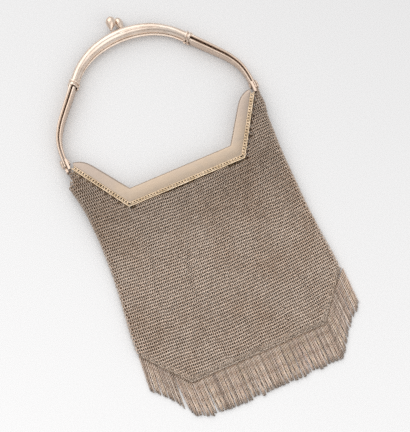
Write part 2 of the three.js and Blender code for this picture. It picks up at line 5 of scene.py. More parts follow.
import logging
import math
from collections.abc import Callable
from dataclasses import dataclass, field
from enum import Enum
from functools import partial

import bmesh
import bpy
import numpy as np
from mathutils import Matrix, Vector


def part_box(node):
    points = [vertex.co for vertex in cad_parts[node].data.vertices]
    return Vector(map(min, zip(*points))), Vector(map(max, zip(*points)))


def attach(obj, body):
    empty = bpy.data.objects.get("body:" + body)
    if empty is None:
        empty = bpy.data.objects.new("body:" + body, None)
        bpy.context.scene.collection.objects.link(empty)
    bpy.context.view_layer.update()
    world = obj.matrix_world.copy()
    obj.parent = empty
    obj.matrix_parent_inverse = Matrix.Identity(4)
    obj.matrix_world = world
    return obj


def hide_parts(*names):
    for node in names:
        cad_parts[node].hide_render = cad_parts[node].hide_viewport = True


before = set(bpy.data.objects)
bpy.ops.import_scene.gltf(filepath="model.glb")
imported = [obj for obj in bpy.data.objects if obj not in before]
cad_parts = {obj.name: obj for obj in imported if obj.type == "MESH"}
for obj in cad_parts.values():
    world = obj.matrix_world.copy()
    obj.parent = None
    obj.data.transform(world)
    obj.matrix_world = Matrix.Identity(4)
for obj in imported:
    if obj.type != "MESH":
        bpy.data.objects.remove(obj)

logging.basicConfig(level=logging.INFO, format="%(message)s")
log = logging.getLogger("purse")

METRES_PER_MM = 0.001

Colour = tuple[float, float, float]
BLACK: Colour = (0.0, 0.0, 0.0)
WHITE: Colour = (1.0, 1.0, 1.0)


class Half(Enum):
    """The front or the back half of the closed frame."""

    FRONT = 1
    BACK = -1


class Side(Enum):
    """The left or the right side of the purse."""

    LEFT = -1
    RIGHT = 1


def smoothstep(value: float | np.ndarray, low: float, high: float) -> float | np.ndarray:
    """Eases from 0 to 1 between two values.

    Args:
        value: The number or numbers to ease.
        low: Where the result is still 0.
        high: Where the result is 1.

    Returns:
        The eased share, of the same shape as the value.
    """
    share = np.clip((value - low) / (high - low), 0.0, 1.0)
    return share * share * (3 - 2 * share)


def smooth_curve(points: np.ndarray, per_span: int = 24) -> np.ndarray:
    """Draws a centripetal Catmull-Rom curve.

    Args:
        points: The points that the curve passes through, one a row.
        per_span: Steps between two of them.

    Returns:
        The curve's points, one a row.
    """
    rows = np.vstack([2 * points[0] - points[1], points, 2 * points[-1] - points[-2]])
    steps = np.sqrt(np.linalg.norm(np.diff(rows, axis=0), axis=1))
    share = np.linspace(0, 1, per_span, endpoint=False)[:, None]
    spans = []
    for i in range(1, len(rows) - 2):
        a, b, c, d = rows[i - 1 : i + 3]
        before, here, after = steps[i - 1 : i + 2]
        leave = ((b - a) / before - (c - a) / (before + here) + (c - b) / here) * here
        arrive = ((c - b) / here - (d - b) / (here + after) + (d - c) / after) * here
        square, cube = share**2, share**3
        spans.append(
            (2 * cube - 3 * square + 1) * b
            + (cube - 2 * square + share) * leave
            + (3 * square - 2 * cube) * c
            + (cube - square) * arrive
        )
    return np.vstack([*spans, points[-1:]])


@dataclass(frozen=True)
class HingeFrame:
    """Where the hinge axis lies in the row frame, in millimetres."""

    middle: float
    axis: float
    parting: float

    @classmethod
    def from_pins(cls) -> HingeFrame:
        """Reads the axis from the two hinge pins.

        Returns:
            The hinge frame.
        """
        left = np.array(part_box("hinge_pin_left")) / METRES_PER_MM
        right = np.array(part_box("hinge_pin_right")) / METRES_PER_MM
        return cls(
            middle=float(left[0][0] + right[1][0]) / 2,
            axis=float(left[0][1] + left[1][1]) / 2,
            parting=float(left[0][2] + left[1][2]) / 2,
        )

    def to_row(self, points: np.ndarray) -> np.ndarray:
        """Turns millimetres from the hinge axis into the row frame's metres.

        Args:
            points: Points from the hinge axis and the surface, one a row.

        Returns:
            The same points in metres.
        """
        return (points + np.array([self.middle, self.axis, 0.0])) * METRES_PER_MM


PLACE = HingeFrame.from_pins()


class Draft:
    """The points and faces of one piece, in millimetres from the hinge axis."""

    def __init__(self) -> None:
        """Starts an empty piece."""
        self.points: list[np.ndarray] = []
        self.faces: list[tuple[int, ...]] = []
        self.count = 0

    def add(self, points: np.ndarray, faces: list[tuple[int, ...]]) -> None:
        """Adds a closed body.

        Args:
            points: Its points, one a row.
            faces: Its faces, as rows of the body's own point numbers.
        """
        self.points.append(points)
        self.faces += [tuple(self.count + i for i in face) for face in faces]
        self.count += len(points)

    def loft(self, rings: np.ndarray) -> None:
        """Adds a body through rings of points, closed at both ends.

        Args:
            rings: The rings, as an array of ring, point and coordinate.
        """
        levels, corners = rings.shape[:2]
        faces: list[tuple[int, ...]] = []
        for level in range(levels - 1):
            for i in range(corners):
                a = level * corners + i
                b = level * corners + (i + 1) % corners
                faces.append((a, b, b + corners, a + corners))
        last = (levels - 1) * corners
        faces.append(tuple(reversed(range(corners))))
        faces.append(tuple(range(last, last + corners)))
        self.add(rings.reshape(-1, 3), faces)

    def turn(self, profile: np.ndarray, foot: np.ndarray, axis: np.ndarray, sides: int = 24) -> None:
        """Adds a turned body.

        Args:
            profile: Radius and height of each ring, one a row, with both ends off the axis.
            foot: Where the height is 0.
            axis: The direction of the height.
            sides: Faces round the body.
        """
        up = axis / np.linalg.norm(axis)
        across = np.cross(up, [0.0, 0.0, 1.0] if abs(up[2]) < 0.9 else [1.0, 0.0, 0.0])
        across /= np.linalg.norm(across)
        other = np.cross(up, across)
        angles = np.linspace(0, 2 * math.pi, sides, endpoint=False)[:, None]
        spokes = np.cos(angles) * across + np.sin(angles) * other
        self.loft(np.array([foot + up * height + radius * spokes for radius, height in profile]))

    def to_object(self, name: str, crease: float = 35.0) -> bpy.types.Object:
        """Makes the mesh object, in the row frame.

        Args:
            name: The piece's name.
            crease: Faces that meet at more than this angle, in degrees, keep a crisp edge.

        Returns:
            The object, with its place in its mesh.
        """
        mesh = bpy.data.meshes.new(name)
        mesh.from_pydata(PLACE.to_row(np.vstack(self.points)).tolist(), [], self.faces)
        work = bmesh.new()
        work.from_mesh(mesh)
        bmesh.ops.recalc_face_normals(work, faces=work.faces)
        work.to_mesh(mesh)
        work.free()
        mesh.shade_smooth()
        mesh.set_sharp_from_angle(angle=math.radians(crease))
        piece = bpy.data.objects.new(name, mesh)
        bpy.context.scene.collection.objects.link(piece)
        return piece


class NodeSheet:
    """A node tree under construction."""

    def __init__(self, tree: bpy.types.NodeTree) -> None:
        """Takes the tree to fill."""
        self.tree = tree

    def node(self, kind: str, **settings: object) -> bpy.types.Node:
        """Adds a node.

        Args:
            kind: Its type name.
            **settings: Its properties by name.

        Returns:
            The node.
        """
        made = self.tree.nodes.new(kind)
        for name, value in settings.items():
            setattr(made, name, value)
        return made

    def join(self, source: bpy.types.NodeSocket, target: bpy.types.NodeSocket) -> None:
        """Joins an output to an input."""
        self.tree.links.new(source, target)

    def math(self, operation: str, *values: bpy.types.NodeSocket | float) -> bpy.types.NodeSocket:
        """Adds a sum of sockets and numbers.

        Args:
            operation: The Math node's operation.
            *values: What it works on.

        Returns:
            The result's socket.
        """
        made = self.node("ShaderNodeMath", operation=operation)
        for socket, value in zip(made.inputs, values):
            if isinstance(value, bpy.types.NodeSocket):
                self.join(value, socket)
            else:
                socket.default_value = value
        return made.outputs[0]


class Recipe(NodeSheet):
    """A Geometry Nodes tree with named inputs, which turns a carrier into a piece."""

    name = "recipe"

    def __init__(self) -> None:
        """Builds the tree."""
        super().__init__(bpy.data.node_groups.new(self.name, "GeometryNodeTree"))
        self.tree.is_modifier = True
        self.identifiers: dict[str, str] = {}
        self.add_input("Geometry", "NodeSocketGeometry")
        self.tree.interface.new_socket(name="Geometry", in_out="OUTPUT", socket_type="NodeSocketGeometry")
        self.declare()
        self.add_input("Seed", "NodeSocketInt")
        self.add_input("Material", "NodeSocketMaterial")
        self.source = self.node("NodeGroupInput")
        self.result = self.node("NodeGroupOutput")
        self.compose()

    def declare(self) -> None:
        """Adds the recipe's own inputs."""

    def compose(self) -> None:
        """Adds the recipe's nodes."""

    def add_input(self, name: str, kind: str) -> None:
        """Adds a named input and keeps its identifier."""
        socket = self.tree.interface.new_socket(name=name, in_out="INPUT", socket_type=kind)
        self.identifiers[name] = socket.identifier

    def given(self, name: str) -> bpy.types.NodeSocket:
        """Returns the socket of a named input."""
        return self.source.outputs[name]

    def random(
        self, spread: bpy.types.NodeSocket | float, stream: int, middle: float = 0.0
    ) -> bpy.types.NodeSocket:
        """Adds a random number for each element, from its own stream of the seed.

        Args:
            spread: How far the number strays to either side.
            stream: Which stream, so that two numbers of one element don't go together.
            middle: The number that it strays from.

        Returns:
            The number's socket.
        """
        value = self.node("FunctionNodeRandomValue", data_type="FLOAT")
        numbers = [socket for socket in value.inputs if socket.type == "VALUE"]
        numbers[0].default_value = -1.0
        numbers[1].default_value = 1.0
        self.join(self.math("ADD", self.given("Seed"), stream), value.inputs["Seed"])
        outputs = [socket for socket in value.outputs if socket.type == "VALUE"]
        return self.math("MULTIPLY_ADD", outputs[0], spread, middle)

    def attribute(self, name: str, kind: str) -> bpy.types.NodeSocket:
        """Reads an attribute of the carrier.

        Args:
            name: The attribute's name.
            kind: Its data type.

        Returns:
            Its socket.
        """
        made = self.node("GeometryNodeInputNamedAttribute", data_type=kind)
        made.inputs["Name"].default_value = name
        return made.outputs["Attribute"]

    def store(
        self,
        geometry: bpy.types.NodeSocket,
        name: str,
        value: bpy.types.NodeSocket,
        domain: str = "POINT",
    ) -> bpy.types.NodeSocket:
        """Stores a number on the geometry for its finish to read.

        Args:
            geometry: The geometry's socket.
            name: The attribute's name.
            value: The number's socket.
            domain: What carries it.

        Returns:
            The geometry's socket with the attribute on it.
        """
        made = self.node("GeometryNodeStoreNamedAttribute", data_type="FLOAT", domain=domain)
        made.inputs["Name"].default_value = name
        self.join(geometry, made.inputs["Geometry"])
        self.join(value, made.inputs["Value"])
        return made.outputs["Geometry"]

    def close(self, geometry: bpy.types.NodeSocket) -> None:
        """Realizes the instances, sets the material and ends the tree.

        Args:
            geometry: The finished geometry's socket.
        """
        realize = self.node("GeometryNodeRealizeInstances")
        self.join(geometry, realize.inputs[0])
        smooth = self.node("GeometryNodeSetShadeSmooth")
        self.join(realize.outputs[0], smooth.inputs[0])
        material = self.node("GeometryNodeSetMaterial")
        self.join(smooth.outputs[0], material.inputs["Geometry"])
        self.join(self.given("Material"), material.inputs["Material"])
        self.join(material.outputs[0], self.result.inputs[0])

    def cook(self, name: str, carrier: bpy.types.Mesh, **inputs: object) -> bpy.types.Object:
        """Runs the recipe on a carrier and keeps the result as a plain mesh.

        Args:
            name: The piece's name.
            carrier: The mesh whose points or edges carry what repeats.
            **inputs: The tree's inputs, with underscores for spaces.

        Returns:
            The finished object, without a modifier.
        """
        bench = bpy.data.objects.new(name + "_carrier", carrier)
        bpy.context.scene.collection.objects.link(bench)
        modifier = bench.modifiers.new(self.name, "NODES")
        modifier.node_group = self.tree
        for key, value in inputs.items():
            modifier[self.identifiers[key.replace("_", " ")]] = value
        graph = bpy.context.evaluated_depsgraph_get()
        mesh = bpy.data.meshes.new_from_object(bench.evaluated_get(graph), depsgraph=graph)
        bench.modifiers.remove(modifier)
        bpy.data.objects.remove(bench)
        mesh.name = name
        piece = bpy.data.objects.new(name, mesh)
        bpy.context.scene.collection.objects.link(piece)
        return piece


class LinkRecipe(Recipe):
    """Rings or oval links on a lattice of points, each leaning as its point says."""

    name = "links_on_lattice"

    def declare(self) -> None:
        """Adds the sizes of a link and its play."""
        for name in ("Half Width", "Half Length", "Wire Radius", "Lean Play", "Turn Play", "Size Play"):
            self.add_input(name, "NodeSocketFloat")
        for name in ("Link Sides", "Wire Sides"):
            self.add_input(name, "NodeSocketInt")

    def link_shape(self) -> bpy.types.NodeSocket:
        """Makes one link round its own Z axis, with the height that its lean gives each point.

        Returns:
            The link's socket. Its points carry how high and how far along the link they lie.
        """
        loop = self.node("GeometryNodeCurvePrimitiveCircle", mode="RADIUS")
        self.join(self.given("Link Sides"), loop.inputs["Resolution"])
        loop.inputs["Radius"].default_value = 1.0
        size = self.node("ShaderNodeCombineXYZ")
        self.join(self.given("Half Width"), size.inputs["X"])
        self.join(self.given("Half Length"), size.inputs["Y"])
        size.inputs["Z"].default_value = 1.0
        stretched = self.node("GeometryNodeTransform")
        self.join(loop.outputs["Curve"], stretched.inputs["Geometry"])
        self.join(size.outputs[0], stretched.inputs["Scale"])
        wire = self.node("GeometryNodeCurvePrimitiveCircle", mode="RADIUS")
        self.join(self.given("Wire Sides"), wire.inputs["Resolution"])
        self.join(self.given("Wire Radius"), wire.inputs["Radius"])
        tube = self.node("GeometryNodeCurveToMesh")
        self.join(stretched.outputs["Geometry"], tube.inputs["Curve"])
        self.join(wire.outputs["Curve"], tube.inputs["Profile Curve"])
        spot = self.node("ShaderNodeSeparateXYZ")
        self.join(self.node("GeometryNodeInputPosition").outputs[0], spot.inputs[0])
        rise = self.math("DIVIDE", spot.outputs["X"], self.given("Half Width"))
        risen = self.store(tube.outputs[0], "rise", self.math("MULTIPLY_ADD", rise, 0.5, 0.5))
        reach = self.math("DIVIDE", self.math("ABSOLUTE", spot.outputs["Y"]), self.given("Half Length"))
        return self.store(risen, "reach", reach)

    def compose(self) -> None:
        """Sets a link on each point."""
        axes = self.node("FunctionNodeAxesToRotation", primary_axis="Z", secondary_axis="X")
        self.join(self.attribute("out", "FLOAT_VECTOR"), axes.inputs[0])
        self.join(self.attribute("along", "FLOAT_VECTOR"), axes.inputs[1])
        lean = self.math("ADD", self.attribute("lean", "FLOAT"), self.random(self.given("Lean Play"), 1))
        turns = self.node("ShaderNodeCombineXYZ")
        self.join(self.random(self.given("Turn Play"), 2), turns.inputs["X"])
        self.join(lean, turns.inputs["Y"])
        self.join(self.random(self.given("Turn Play"), 3), turns.inputs["Z"])
        local = self.node("FunctionNodeEulerToRotation")
        self.join(turns.outputs[0], local.inputs[0])
        turned = self.node("FunctionNodeRotateRotation", rotation_space="LOCAL")
        self.join(axes.outputs[0], turned.inputs["Rotation"])
        self.join(local.outputs[0], turned.inputs["Rotate By"])
        spread = self.node("GeometryNodeInstanceOnPoints")
        self.join(self.given("Geometry"), spread.inputs["Points"])
        self.join(self.link_shape(), spread.inputs["Instance"])
        self.join(turned.outputs[0], spread.inputs["Rotation"])
        self.join(self.random(self.given("Size Play"), 4, 1.0), spread.inputs["Scale"])
        self.close(self.store(spread.outputs[0], "tone", self.random(0.5, 5, 0.5), "INSTANCE"))


class RungRecipe(Recipe):
    """Small bars on a line of points, each across the line."""

    name = "rungs_on_line"

    def declare(self) -> None:
        """Adds the sizes of a bar."""
        for name in ("Width", "Length", "Thickness"):
            self.add_input(name, "NodeSocketFloat")

    def compose(self) -> None:
        """Sets a bar on each point."""
        size = self.node("ShaderNodeCombineXYZ")
        for axis, name in zip("XYZ", ("Width", "Length", "Thickness")):
            self.join(self.given(name), size.inputs[axis])
        bar = self.node("GeometryNodeMeshCube")
        self.join(size.outputs[0], bar.inputs["Size"])
        axes = self.node("FunctionNodeAxesToRotation", primary_axis="Z", secondary_axis="X")
        self.join(self.attribute("out", "FLOAT_VECTOR"), axes.inputs[0])
        self.join(self.attribute("along", "FLOAT_VECTOR"), axes.inputs[1])
        spread = self.node("GeometryNodeInstanceOnPoints")
        self.join(self.given("Geometry"), spread.inputs["Points"])
        self.join(bar.outputs["Mesh"], spread.inputs["Instance"])
        self.join(axes.outputs[0], spread.inputs["Rotation"])
        self.close(self.store(spread.outputs[0], "tone", self.random(0.5, 5, 0.5), "INSTANCE"))


class ChainRecipe(Recipe):
    """Fine twisted chains along lines of edges."""

    name = "chains_on_lines"

    def declare(self) -> None:
        """Adds the sizes of a chain."""
        for name in ("Radius", "Flatness", "Twist", "Swell"):
            self.add_input(name, "NodeSocketFloat")
        for name in ("Links", "Sides"):
            self.add_input(name, "NodeSocketInt")

    def compose(self) -> None:
        """Draws each chain as a flat twisted wire that swells at every link."""
        line = self.node("GeometryNodeMeshToCurve")
        self.join(self.given("Geometry"), line.inputs["Mesh"])
        links = self.node("GeometryNodeResampleCurve", mode="COUNT")
        self.join(line.outputs[0], links.inputs["Curve"])
        self.join(self.given("Links"), links.inputs["Count"])
        place = self.node("GeometryNodeSplineParameter")
        toned = self.store(links.outputs[0], "tone", self.random(0.5, 5, 0.5), "CURVE")
        marked = self.store(toned, "down", place.outputs["Factor"])
        tilt = self.node("GeometryNodeSetCurveTilt")
        self.join(marked, tilt.inputs["Curve"])
        self.join(self.math("MULTIPLY", place.outputs["Index"], self.given("Twist")), tilt.inputs["Tilt"])
        shift = self.math("MULTIPLY", self.attribute("tone", "FLOAT"), 8.0)
        wave = self.math("SINE", self.math("MULTIPLY_ADD", place.outputs["Index"], math.pi / 2 + 0.6, shift))
        swell = self.math("MULTIPLY_ADD", wave, self.given("Swell"), 1.0)
        radius = self.node("GeometryNodeSetCurveRadius")
        self.join(tilt.outputs[0], radius.inputs["Curve"])
        self.join(swell, radius.inputs["Radius"])
        wire = self.node("GeometryNodeCurvePrimitiveCircle", mode="RADIUS")
        self.join(self.given("Sides"), wire.inputs["Resolution"])
        self.join(self.given("Radius"), wire.inputs["Radius"])
        size = self.node("ShaderNodeCombineXYZ")
        size.inputs["X"].default_value = 1.0
        size.inputs["Z"].default_value = 1.0
        self.join(self.given("Flatness"), size.inputs["Y"])
        flat = self.node("GeometryNodeTransform")
        self.join(wire.outputs["Curve"], flat.inputs["Geometry"])
        self.join(size.outputs[0], flat.inputs["Scale"])
        tube = self.node("GeometryNodeCurveToMesh")
        self.join(radius.outputs[0], tube.inputs["Curve"])
        self.join(flat.outputs["Geometry"], tube.inputs["Profile Curve"])
        tube.inputs["Fill Caps"].default_value = True
        self.close(tube.outputs[0])


@dataclass(frozen=True)
class Finish:
    """What all finishes share: a name and a node tree round one surface shader."""

    name: str

    def material(self) -> bpy.types.Material:
        """Builds the material.

        Returns:
            The material.
        """
        made = bpy.data.materials.new(self.name)
        made.use_nodes = True
        made.node_tree.nodes.clear()
        sheet = NodeSheet(made.node_tree)
        shader = sheet.node("ShaderNodeBsdfPrincipled")
        output = sheet.node("ShaderNodeOutputMaterial")
        sheet.join(shader.outputs[0], output.inputs["Surface"])
        self.paint(sheet, shader)
        return made

    def paint(self, sheet: NodeSheet, shader: bpy.types.Node) -> None:
        """Joins the finish's own nodes to the shader."""

    @staticmethod
    def noise(
        sheet: NodeSheet, scale: float, detail: float = 3.0, stretch: Vector | None = None
    ) -> bpy.types.NodeSocket:
        """Adds a cloudy pattern in the piece's own space.

        Args:
            sheet: The material's tree.
            scale: How many clouds fit in a metre.
            detail: How fine their edges are.
            stretch: The pattern's scale along each axis.

        Returns:
            The pattern's socket, about 0.5 in the middle.
        """
        place = sheet.node("ShaderNodeTexCoord")
        spread = sheet.node("ShaderNodeMapping")
        sheet.join(place.outputs["Object"], spread.inputs["Vector"])
        spread.inputs["Scale"].default_value = stretch or Vector((1, 1, 1))
        clouds = sheet.node("ShaderNodeTexNoise")
        clouds.inputs["Scale"].default_value = scale
        clouds.inputs["Detail"].default_value = detail
        sheet.join(spread.outputs[0], clouds.inputs["Vector"])
        return clouds.outputs[0]

    @staticmethod
    def ramp(
        sheet: NodeSheet, value: bpy.types.NodeSocket, *stops: tuple[float, Colour]
    ) -> bpy.types.NodeSocket:
        """Turns a number into a colour.

        Args:
            sheet: The material's tree.
            value: The number's socket.
            *stops: Places from 0 to 1 with their colours.

        Returns:
            The colour's socket.
        """
        made = sheet.node("ShaderNodeValToRGB")
        sheet.join(value, made.inputs[0])
        while len(made.color_ramp.elements) < len(stops):
            made.color_ramp.elements.new(0.5)
        for element, (place, colour) in zip(made.color_ramp.elements, stops):
            element.position = place
            element.color = (*colour, 1.0)
        return made.outputs[0]

    @staticmethod
    def blend(
        sheet: NodeSheet,
        share: bpy.types.NodeSocket | float,
        first: bpy.types.NodeSocket,
        second: bpy.types.NodeSocket | None,
        mode: str = "MIX",
    ) -> bpy.types.NodeSocket:
        """Mixes two colours.

        Args:
            sheet: The material's tree.
            share: How much of the second one shows.
            first: The lower colour.
            second: The upper colour, or none where the caller sets an even one.
            mode: The way in which they mix.

        Returns:
            The mixed colour's socket.
        """
        made = sheet.node("ShaderNodeMix", data_type="RGBA", blend_type=mode)
        colours = [socket for socket in made.inputs if socket.type == "RGBA"]
        if isinstance(share, bpy.types.NodeSocket):
            sheet.join(share, made.inputs[0])
        else:
            made.inputs[0].default_value = share
        sheet.join(first, colours[0])
        if second is not None:
            sheet.join(second, colours[1])
        return next(socket for socket in made.outputs if socket.type == "RGBA")

    @staticmethod
    def tint(
        sheet: NodeSheet,
        share: bpy.types.NodeSocket | float,
        first: bpy.types.NodeSocket,
        colour: Colour,
        mode: str = "MIX",
    ) -> bpy.types.NodeSocket:
        """Mixes one even colour into another.

        Args:
            sheet: The material's tree.
            share: How much of the even colour shows.
            first: The lower colour.
            colour: The even colour.
            mode: The way in which they mix.

        Returns:
            The mixed colour's socket.
        """
        mixed = Finish.blend(sheet, share, first, None, mode)
        colours = [socket for socket in mixed.node.inputs if socket.type == "RGBA"]
        colours[1].default_value = (*colour, 1.0)
        return mixed

    @staticmethod
    def between(
        sheet: NodeSheet,
        value: bpy.types.NodeSocket,
        low: float,
        high: float,
        start: float = 0.0,
        end: float = 1.0,
    ) -> bpy.types.NodeSocket:
        """Maps a number from one range to another.

        Args:
            sheet: The material's tree.
            value: The number's socket.
            low: The result at the range's start.
            high: The result at the range's end.
            start: Where the range starts.
            end: Where the range ends.

        Returns:
            The mapped number's socket.
        """
        made = sheet.node("ShaderNodeMapRange")
        sheet.join(value, made.inputs["Value"])
        for name, number in {"From Min": start, "From Max": end, "To Min": low, "To Max": high}.items():
            made.inputs[name].default_value = number
        return made.outputs[0]

    @staticmethod
    def height(sheet: NodeSheet, start: float, end: float) -> bpy.types.NodeSocket:
        """Measures how far up the purse a point lies.

        Args:
            sheet: The material's tree.
            start: The Y of the piece's own space where the result is 0, in metres.
            end: The Y where it is 1.

        Returns:
            The measure's socket.
        """
        parts = sheet.node("ShaderNodeSeparateXYZ")
        sheet.join(sheet.node("ShaderNodeTexCoord").outputs["Object"], parts.inputs[0])
        return Finish.between(sheet, parts.outputs["Y"], 0.0, 1.0, start, end)

    @staticmethod
    def carried(sheet: NodeSheet, name: str) -> bpy.types.NodeSocket:
        """Reads a number that the mesh carries."""
        return sheet.node("ShaderNodeAttribute", attribute_name=name).outputs["Fac"]

    @staticmethod
    def relief(sheet: NodeSheet, shader: bpy.types.Node, height: bpy.types.NodeSocket, depth: float) -> None:
        """Gives the shader fine relief.

        Args:
            sheet: The material's tree.
            shader: The surface shader.
            height: The pattern of the relief.
            depth: Its depth in metres.
        """
        bump = sheet.node("ShaderNodeBump")
        bump.inputs["Distance"].default_value = depth
        sheet.join(height, bump.inputs["Height"])
        sheet.join(bump.outputs[0], shader.inputs["Normal"])


@dataclass(frozen=True)
class PolishedSilver(Finish):
    """Silver with a warm tone and faint tarnish clouds, browner on the arms with painted shade."""

    name: str = "polished_silver"
    bright: Colour = (0.82, 0.71, 0.62)
    warm: Colour = (0.77, 0.62, 0.51)
    # arm_shade: painted shade, the browner tone of the arms, which stands in for their darker reflections
    arm_shade: Colour = (0.69, 0.55, 0.45)
    tarnish: Colour = (0.42, 0.30, 0.22)
    arm_top: tuple[float, float] = (0.100, 0.108)
    cloud_scale: float = 70.0
    spot_scale: float = 130.0
    wear_scale: float = 300.0
    wear_depth: float = 0.000002
    roughness: tuple[float, float] = (0.28, 0.42)

    def paint(self, sheet: NodeSheet, shader: bpy.types.Node) -> None:
        """Clouds the tone, browns the arms with painted shade and wears the polish.

        Args:
            sheet: The material's tree.
            shader: Its metal shader.
        """
        shader.inputs["Metallic"].default_value = 1.0
        clouds = self.noise(sheet, self.cloud_scale, 4)
        tone = self.ramp(sheet, clouds, (0.35, self.bright), (0.68, self.warm))
        speckle = self.noise(sheet, self.spot_scale)
        spots = self.ramp(sheet, speckle, (0.55, BLACK), (0.8, (0.35, 0.35, 0.35)))
        # Painted shade: below the arch the arms turn browner, standing in for the darker reflections that
        # they show.
        arm_shade_mask = self.ramp(sheet, self.height(sheet, *self.arm_top), (0.0, WHITE), (1.0, BLACK))
        arm_shaded = self.tint(sheet, arm_shade_mask, tone, self.arm_shade)
        sheet.join(self.tint(sheet, spots, arm_shaded, self.tarnish), shader.inputs["Base Color"])
        wear = self.noise(sheet, self.wear_scale)
        sheet.join(self.between(sheet, wear, *self.roughness), shader.inputs["Roughness"])
        self.relief(sheet, shader, wear, self.wear_depth)


@dataclass(frozen=True)
class SatinSilver(Finish):
    """Satin jaw plates, tan at their foot and rosier towards their tips."""

    name: str = "satin_silver"
    tan: Colour = (0.515, 0.41, 0.315)
    rosy: Colour = (0.455, 0.37, 0.31)
    grey: Colour = (0.415, 0.36, 0.31)
    foot_y: float = 0.010
    tip_y: float = 0.045
    drift: float = 0.7
    drift_scale: float = 55.0
    cloud_scale: float = 160.0
    brush_scale: float = 700.0
    brush_depth: float = 0.00002
    roughness: tuple[float, float] = (0.34, 0.5)

    def paint(self, sheet: NodeSheet, shader: bpy.types.Node) -> None:
        """Runs the tone up the plate and brushes it.

        Args:
            sheet: The material's tree.
            shader: Its metal shader.
        """
        shader.inputs["Metallic"].default_value = 1.0
        height = self.height(sheet, self.foot_y, self.tip_y)
        drifts = self.noise(sheet, self.drift_scale)
        shift = sheet.math("MULTIPLY_ADD", drifts, self.drift, -self.drift / 2)
        stray = sheet.math("ADD", height, shift)
        tone = self.ramp(sheet, stray, (0.2, self.tan), (0.85, self.rosy))
        patches = self.noise(sheet, self.cloud_scale, 5)
        clouds = self.ramp(sheet, patches, (0.45, BLACK), (0.85, (0.5, 0.5, 0.5)))
        sheet.join(self.tint(sheet, clouds, tone, self.grey), shader.inputs["Base Color"])
        brushed = self.noise(sheet, self.brush_scale, 4, Vector((0.2, 1.0, 1.0)))
        sheet.join(self.between(sheet, brushed, *self.roughness), shader.inputs["Roughness"])
        self.relief(sheet, shader, brushed, self.brush_depth)


@dataclass(frozen=True)
class LacingBrass(Finish):
    """The pierced rims and the wire laced through them, pale gold clouded with a duller tone."""

    name: str = "lacing_brass"
    bright: Colour = (0.96, 0.79, 0.60)
    dull: Colour = (0.66, 0.50, 0.32)
    cloud_scale: float = 320.0
    grain_scale: float = 1500.0
    grain_depth: float = 0.00002
    roughness: tuple[float, float] = (0.26, 0.46)

    def paint(self, sheet: NodeSheet, shader: bpy.types.Node) -> None:
        """Clouds the gold tone.

        Args:
            sheet: The material's tree.
            shader: Its metal shader.
        """
        shader.inputs["Metallic"].default_value = 1.0
        clouds = self.noise(sheet, self.cloud_scale, 4)
        tone = self.ramp(sheet, clouds, (0.3, self.bright), (0.78, self.dull))
        sheet.join(tone, shader.inputs["Base Color"])
        sheet.join(self.between(sheet, clouds, *self.roughness), shader.inputs["Roughness"])
        self.relief(sheet, shader, self.noise(sheet, self.grain_scale), self.grain_depth)


@dataclass(frozen=True)
class LinkSilver(Finish):
    """Aged links: worn bright with a painted highlight on their high side, dark with patina and painted
    shade on their low side, and with painted shade towards the jaws.
    """

    name: str = "link_silver"
    # worn_highlight and patina_shade: wear and patina, with a painted highlight on the high side and painted
    # shade on the low side
    worn_highlight: Colour = (1.0, 0.86, 0.74)
    aged: Colour = (0.93, 0.75, 0.61)
    patina_shade: Colour = (0.55, 0.39, 0.28)
    stain: Colour = (0.80, 0.68, 0.57)
    waist: float = 0.76
    # mouth_shade: painted shade that darkens the mesh towards the jaws
    mouth_shade: Colour = (0.74, 0.72, 0.70)
    mouth_shade_y: tuple[float, float] = (-0.045, 0.04)
    patch_scale: float = 38.0
    grain_scale: float = 2500.0
    grain_depth: float = 0.00002
    roughness: tuple[float, float] = (0.34, 0.46)

    def paint(self, sheet: NodeSheet, shader: bpy.types.Node) -> None:
        """Wears the tops with a painted highlight, darkens the hollows with patina and painted shade, adds
        painted shade towards the jaws and sets each link's own tone.

        Args:
            sheet: The material's tree.
            shader: Its metal shader.
        """
        shader.inputs["Metallic"].default_value = 1.0
        # Painted highlight and shade: each link is lighter on its high side and darker on its low side.
        rise = self.carried(sheet, "rise")
        wear = self.ramp(sheet, rise, (0.1, self.patina_shade), (0.5, self.aged), (0.85, self.worn_highlight))
        own = self.ramp(sheet, self.carried(sheet, "tone"), (0.0, (0.80, 0.78, 0.76)), (1.0, WHITE))
        thin = (self.waist, self.waist, self.waist)
        ends = self.ramp(sheet, self.carried(sheet, "reach"), (0.25, thin), (0.85, WHITE))
        toned = self.blend(sheet, 1.0, self.blend(sheet, 1.0, wear, ends, "MULTIPLY"), own, "MULTIPLY")
        clouds = self.noise(sheet, self.patch_scale)
        patches = self.ramp(sheet, clouds, (0.42, BLACK), (0.8, (0.5, 0.5, 0.5)))
        stained = self.tint(sheet, patches, toned, self.stain, "MULTIPLY")
        # Painted shade: the mesh turns darker towards the jaws at its mouth.
        upper = self.ramp(sheet, self.height(sheet, *self.mouth_shade_y), (0.0, BLACK), (1.0, WHITE))
        sheet.join(self.tint(sheet, upper, stained, self.mouth_shade, "MULTIPLY"), shader.inputs["Base Color"])
        polish = self.between(sheet, self.carried(sheet, "tone"), *self.roughness)
        sheet.join(polish, shader.inputs["Roughness"])
        self.relief(sheet, shader, self.noise(sheet, self.grain_scale, 2), self.grain_depth)


# The hem's rings: their low sides are much darker, patina with painted shade.
HEM_SILVER = LinkSilver(
    name="hem_silver", worn_highlight=(0.96, 0.82, 0.70), aged=(0.66, 0.55, 0.46), patina_shade=(0.22, 0.17, 0.135)
)
# Painted shade: a dark finish for the core inside the hem band, the shade seen between its rings.
HEM_SHADE_CORE = LacingBrass(name="hem_shade_core", bright=(0.26, 0.21, 0.17), dull=(0.16, 0.125, 0.10))


